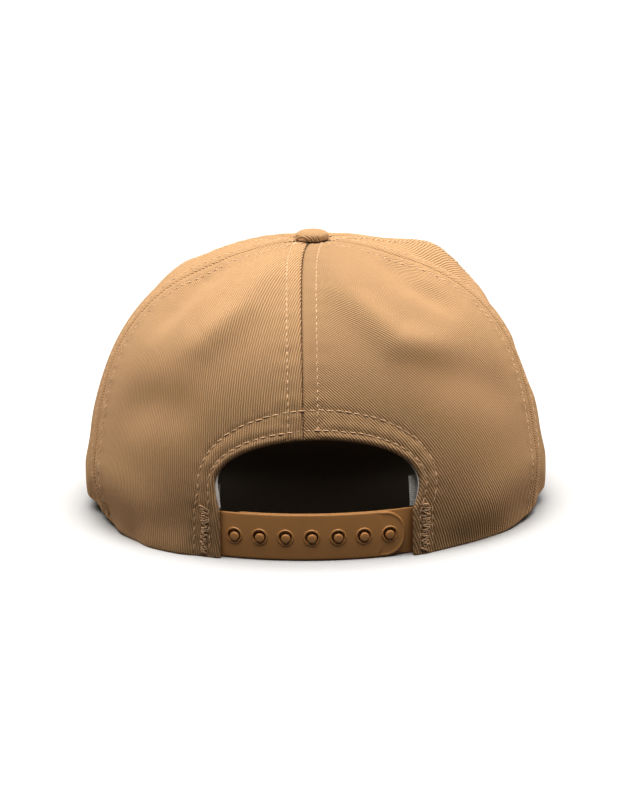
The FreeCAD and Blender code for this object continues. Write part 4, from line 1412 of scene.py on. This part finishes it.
class FlatStrap:
    """Flat pattern of a strap: places along (s) and across (z), and how far its faces stand out."""

    def __init__(self):
        self.places = []
        self.heights = []
        self.faces = []
        self.index = {}

    def point(self, s, z, height=None):
        """Number of the pattern point at a place, made once."""
        key = (round(s, 3), round(z, 3))
        if key not in self.index:
            self.index[key] = len(self.places)
            self.places.append((s, z))
            self.heights.append(np.nan if height is None else height)
        return self.index[key]

    def grid(self, s, z):
        """Faces over a grid given as two arrays of the same shape, along s first."""
        numbers = [[self.point(a, b) for a, b in zip(row_s, row_z)] for row_s, row_z in zip(s, z)]
        for i in range(len(numbers) - 1):
            for k in range(len(numbers[i]) - 1):
                face = [numbers[i][k], numbers[i + 1][k], numbers[i + 1][k + 1], numbers[i][k + 1]]
                clean = list(dict.fromkeys(face))
                if len(clean) > 2:
                    self.faces.append(tuple(clean))


def strap_levels():
    """Values of z across a strap, closer together towards both edges."""
    inner = np.linspace(-(STRAP_HALF - 1.2), STRAP_HALF - 1.2, 15)
    low = -STRAP_HALF + CELL_EDGE_STEPS
    return np.concatenate([low, inner, -low[::-1]])


def cell_outline(left, right, levels):
    """Places round a cell's rectangle, from its lower left corner, anticlockwise."""
    bottom, top = levels[0], levels[-1]
    across = np.linspace(left, right, CELL_COLUMNS)
    places = [(s, bottom) for s in across[:-1]]
    places += [(right, z) for z in levels[:-1]]
    places += [(s, top) for s in across[::-1][:-1]]
    places += [(left, z) for z in levels[::-1][:-1]]
    return np.array(places)


def tip_outline(left, tip, levels):
    """Places round a strap's rounded end, anticlockwise, and how many of them are on its edge."""
    corner = tip - TIP_ROUND
    straight = STRAP_HALF - TIP_ROUND
    along = np.linspace(left, corner, 5)
    turn = np.linspace(-HALF_PI, 0.0, 20)
    lower = [(corner + TIP_ROUND * math.cos(a), TIP_ROUND * math.sin(a) - straight) for a in turn]
    places = [(s, -STRAP_HALF) for s in along[:-1]]
    places += lower
    places += [(s, -z) for s, z in reversed(lower)]
    places += [(s, STRAP_HALF) for s in along[::-1][1:]]
    edge_count = len(places)
    places += [(left, z) for z in levels[::-1][1:-1]]
    return np.array(places), edge_count


def add_cell(flat, centre, outline, inner_shares, rings, closed):
    """Loops of faces round a hole or stud, running out to the outline of its cell.

    inner_shares holds, for each point of the outline, the places of the loops in between.
    """
    away = outline - centre
    angle = np.arctan2(away[:, 1], away[:, 0])
    loops = []
    for radius, height in rings:
        loops.append([flat.point(centre[0] + radius * math.cos(a), centre[1] + radius * math.sin(a),
                                 height) for a in angle])
    last = rings[-1][0]
    circle = centre + last * np.stack([np.cos(angle), np.sin(angle)], axis=1)
    for share in inner_shares(np.linalg.norm(outline - circle, axis=1)):
        places = circle + (outline - circle) * share[:, None]
        loops.append([flat.point(s, z) for s, z in places])
    loops.append([flat.point(s, z) for s, z in outline])
    count = len(outline)
    for inner, outer in zip(loops[:-1], loops[1:]):
        for j in range(count):
            k = (j + 1) % count
            flat.faces.append((inner[j], outer[j], outer[k], inner[k]))
    if closed:
        middle = flat.point(centre[0], centre[1], rings[0][1])
        first = loops[0]
        for j in range(count):
            flat.faces.append((middle, first[j], first[(j + 1) % count]))
    return loops[0]


def even_shares(length):
    """Places of the loops of a cell inside the strap."""
    return [share + 0.0 * length for share in (0.2, 0.45, 0.72)]


def edge_shares(edge_count):
    """Places of the loops of a strap's last cell, crowded towards the free edge."""
    def shares(length):
        steps = len(TIP_INSETS)
        on_edge = np.arange(len(length)) < edge_count
        return [np.where(on_edge, 1.0 - inset / length, (number + 1.0) / (steps + 1.0))
                for number, inset in enumerate(TIP_INSETS)]
    return shares


def hole_rings():
    """Radius and height of the rings round a hole: a shallow funnel inside a rounded lip."""
    lip = ((0.0, -0.30), (0.06, -0.08), (0.16, 0.14), (0.32, 0.32), (0.5, 0.4), (0.68, 0.38),
           (0.82, 0.28), (0.92, 0.1), (0.98, 0.01), (1.12, 0.0))
    return tuple((HOLE_RADIUS + out, height) for out, height in lip)


def stud_rings():
    """Radius and height of the rings of a stud: a domed top, a drafted side and a fillet."""
    top = HOLE_STRAP["radius"] + STUD_PROUD - STUD_STRAP["radius"]
    return ((0.6, top + 0.02), (1.1, top), (1.4, top - 0.06), (STUD_RADIUS - 0.22, top - 0.2),
            (STUD_RADIUS - 0.08, top - 0.42), (STUD_RADIUS - 0.04, top - 0.75),
            (STUD_RADIUS, 0.5), (STUD_RADIUS + 0.05, 0.22), (STUD_RADIUS + 0.16, 0.06),
            (STUD_RADIUS + 0.35, 0.0))


def strap_places(strap):
    """Lengths along a strap of its tab's end, its studs or holes, and its tip."""
    middle = strap["radius"] - 0.5 * STRAP_THICK
    studs = [middle * (FIRST_STUD - STRAP_PITCH * k) * strap["side"] for k in range(STUD_COUNT)]
    tab = -middle * math.asin(TAB_END_X / strap["radius"])
    return tab, sorted(-place for place in studs), middle * strap["tip"], middle


def lay_out_strap(strap, rings, closed, shift):
    """Flat pattern of a whole strap, and the border loops of its holes."""
    flat = FlatStrap()
    levels = strap_levels()
    bands = len(CELL_EDGE_STEPS)
    core = levels[bands - 1:len(levels) - bands + 1]
    tab, studs, tip, middle = strap_places(strap)
    half_cell = 0.5 * middle * STRAP_PITCH
    start = tab + CELL_EDGE_STEPS
    plain = np.concatenate([start, np.linspace(start[-1], studs[0] - half_cell, 30)[1:]])
    flat.grid(*np.meshgrid(plain, levels, indexing="ij"))
    loops = []
    for stud in studs[:-1]:
        left = stud - half_cell
        right = stud + half_cell
        centre = np.array([stud, 0.0]) + np.array(shift)
        outline = cell_outline(left, right, core)
        loops.append(add_cell(flat, centre, outline, even_shares, rings, closed))
        across = np.linspace(left, right, CELL_COLUMNS)
        for band in (levels[:bands], levels[-bands:]):
            flat.grid(*np.meshgrid(across, band, indexing="ij"))
    outline, edge_count = tip_outline(studs[-1] - half_cell, tip, levels)
    centre = np.array([studs[-1], 0.0]) + np.array(shift)
    loops.append(add_cell(flat, centre, outline, edge_shares(edge_count), rings, closed))
    return flat, loops, tip


def bend_strap(strap, s, z, height):
    """Points of a strap bent round its centre, from its flat pattern, its face a little convex."""
    radius = strap["radius"] + height - STRAP_BOW * (z / STRAP_HALF) ** 2
    turn = strap["side"] * -s / (strap["radius"] - 0.5 * STRAP_THICK)
    return np.stack([radius * np.sin(turn), STRAP_CENTRE_Y + radius * np.cos(turn),
                     STRAP_MIDDLE_Z + z], axis=-1)


def border_edges(faces):
    """Edges that only one face uses, in the direction of that face."""
    seen = {}
    for face in faces:
        for a, b in zip(face, face[1:] + face[:1]):
            seen[(a, b)] = True
    return [edge for edge in seen if (edge[1], edge[0]) not in seen]


def make_strap(strap, rings, closed, tip_lip, shift=(0.0, 0.0)):
    """One strap with its sewn tab, its holes or studs and its rounded edges."""
    flat, loops, tip = lay_out_strap(strap, rings, closed, shift)
    places = np.array(flat.places)
    s, z = places[:, 0], places[:, 1]
    tab = strap_places(strap)[0]
    margin = np.minimum(tip_margin(s, z, tip), s - tab)
    edge_drop = rolled(margin, EDGE_ROUND, EDGE_ROUND)
    outer = -edge_drop
    if tip_lip:
        beyond = smooth((s - (tip - 12.0)) / 5.0)
        outer = outer + LIP_HEIGHT * bump(margin - LIP_INSET, 0.42) * (0.25 + 0.75 * beyond)
    fixed = np.array(flat.heights)
    outer = np.where(np.isnan(fixed), outer, fixed)
    inner = -STRAP_THICK + edge_drop
    count = len(places)
    hole_edge = sorted({number for loop in loops for number in loop}) if not closed else []
    inner[hole_edge] += 0.05
    top = bend_strap(strap, s, z, outer)
    under = bend_strap(strap, s, z, inner)
    faces = list(flat.faces)
    faces += [tuple(index + count for index in face[::-1]) for face in flat.faces]
    faces += [(b, a, a + count, b + count) for a, b in border_edges(flat.faces)]
    piece = make_piece(strap["name"] + "_moulding", np.concatenate([top, under]), faces, STRAP,
                       body=None)
    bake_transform(piece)
    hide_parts(strap["name"], strap["name"] + "_tab")


# ------------------------------------------------------------------ carried-over CAD pieces
def dress_cad():
    """Materials of the CAD pieces that stay."""
    for name, material in (("visor_board", BOARD), ("button_cap", METAL),
                           ("button_stem", METAL), ("button_washer", METAL)):
        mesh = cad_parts[name].data
        mesh.materials.clear()
        mesh.materials.append(material)


# ------------------------------------------------------------------ stage, light and camera
FLOOR_HALF = 6000.0
FLOOR_DROP = 0.05       # the floor lies this far under the cap
FLOOR_GREY = 0.50       # reads white under the overhead lamp
WARM = (1.0, 0.88, 0.72)
SKY = (1.0, 0.88, 0.74, 1.0)
SKY_STRENGTH = 0.11
VIEW_GAMMA = 0.75       # under 1: darker middle tones and more contrast than plain


def make_stage():
    """Plain pale floor, which throws no light back on the cap."""
    mesh = bpy.data.meshes.new("floor")
    corners = [(-FLOOR_HALF, -FLOOR_HALF), (FLOOR_HALF, -FLOOR_HALF),
               (FLOOR_HALF, FLOOR_HALF), (-FLOOR_HALF, FLOOR_HALF)]
    mesh.from_pydata([(x * MM, y * MM, -FLOOR_DROP * MM) for x, y in corners], [], [(0, 1, 2, 3)])
    graph = Graph("floor_paint", Roughness=0.9, Specular_IOR_Level=0.1)
    graph.shader.inputs["Base Color"].default_value = (FLOOR_GREY, FLOOR_GREY, FLOOR_GREY, 1.0)
    mesh.materials.append(graph.material)
    floor = bpy.data.objects.new("floor", mesh)
    bpy.context.scene.collection.objects.link(floor)
    floor.visible_diffuse = False


def add_lamp(name, energy, spread, tilt, turn, colour=(1.0, 1.0, 1.0)):
    """Soft distant lamp: tilt is its angle from straight above, turn its bearing from +X."""
    lamp = bpy.data.lights.new(name, "SUN")
    lamp.energy = energy
    lamp.angle = math.radians(spread)
    lamp.color = colour
    holder = bpy.data.objects.new(name, lamp)
    holder.rotation_euler = (0.0, math.radians(tilt), math.radians(turn))
    bpy.context.scene.collection.objects.link(holder)


def make_light():
    """Wide soft light from above, two low soft lights from the sides and a faint even sky."""
    add_lamp("overhead", 6.8, 70.0, 0.0, 0.0)
    add_lamp("left_side", 3.4, 30.0, 89.0, -28.0, WARM)
    add_lamp("right_side", 3.4, 30.0, -89.0, 28.0, WARM)
    world = bpy.data.worlds.new("studio")
    world.use_nodes = True
    background = world.node_tree.nodes["Background"]
    background.inputs["Color"].default_value = SKY
    background.inputs["Strength"].default_value = SKY_STRENGTH
    bpy.context.scene.world = world


def set_view():
    """Plain view transform with a little more contrast."""
    settings = bpy.context.scene.view_settings
    settings.view_transform = "Standard"
    settings.gamma = VIEW_GAMMA


CAMERA_DISTANCE = 1590.0
CAMERA_HEIGHT = math.radians(15.0)
CAMERA_ROLL = math.radians(-0.9)
WATCHED = Vector((0.0, 0.0, 60.0))
CAMERA_AIM = Vector((2.36, 0.0, 43.9))
SENSOR_WIDTH = 36.0
LENS_LENGTH = 170.1


def make_camera():
    """Camera behind the cap, a little above the table."""
    back = Vector((0.0, math.cos(CAMERA_HEIGHT), math.sin(CAMERA_HEIGHT)))
    place = WATCHED + CAMERA_DISTANCE * back
    lens = bpy.data.cameras.new("camera")
    lens.sensor_width = SENSOR_WIDTH
    lens.lens = LENS_LENGTH
    camera = bpy.data.objects.new("camera", lens)
    camera.location = place * MM
    level = (CAMERA_AIM - place).to_track_quat("-Z", "Y")
    roll = Quaternion((0.0, 0.0, 1.0), CAMERA_ROLL)
    camera.rotation_euler = (level @ roll).to_euler()
    lens.clip_start = 0.1
    lens.clip_end = 30.0
    bpy.context.scene.collection.objects.link(camera)
    bpy.context.scene.camera = camera


def main():
    """Build everything round the frame."""
    make_camera()
    make_light()
    set_view()
    make_stage()
    make_panels()
    make_stitches()
    make_bar_tacks()
    make_tapes()
    make_buckram()
    make_facing()
    make_sweatband()
    make_label()
    make_visor_cover("visor_top_twill", "visor_top_cloth", True)
    make_visor_cover("visor_under_twill", "visor_under_cloth", False)
    make_visor_stitches()
    make_button()
    make_strap(HOLE_STRAP, hole_rings(), False, True)
    make_strap(STUD_STRAP, stud_rings(), True, False, shift=STUD_SHIFT)
    dress_cad()


main()

bpy.context.view_layer.update()
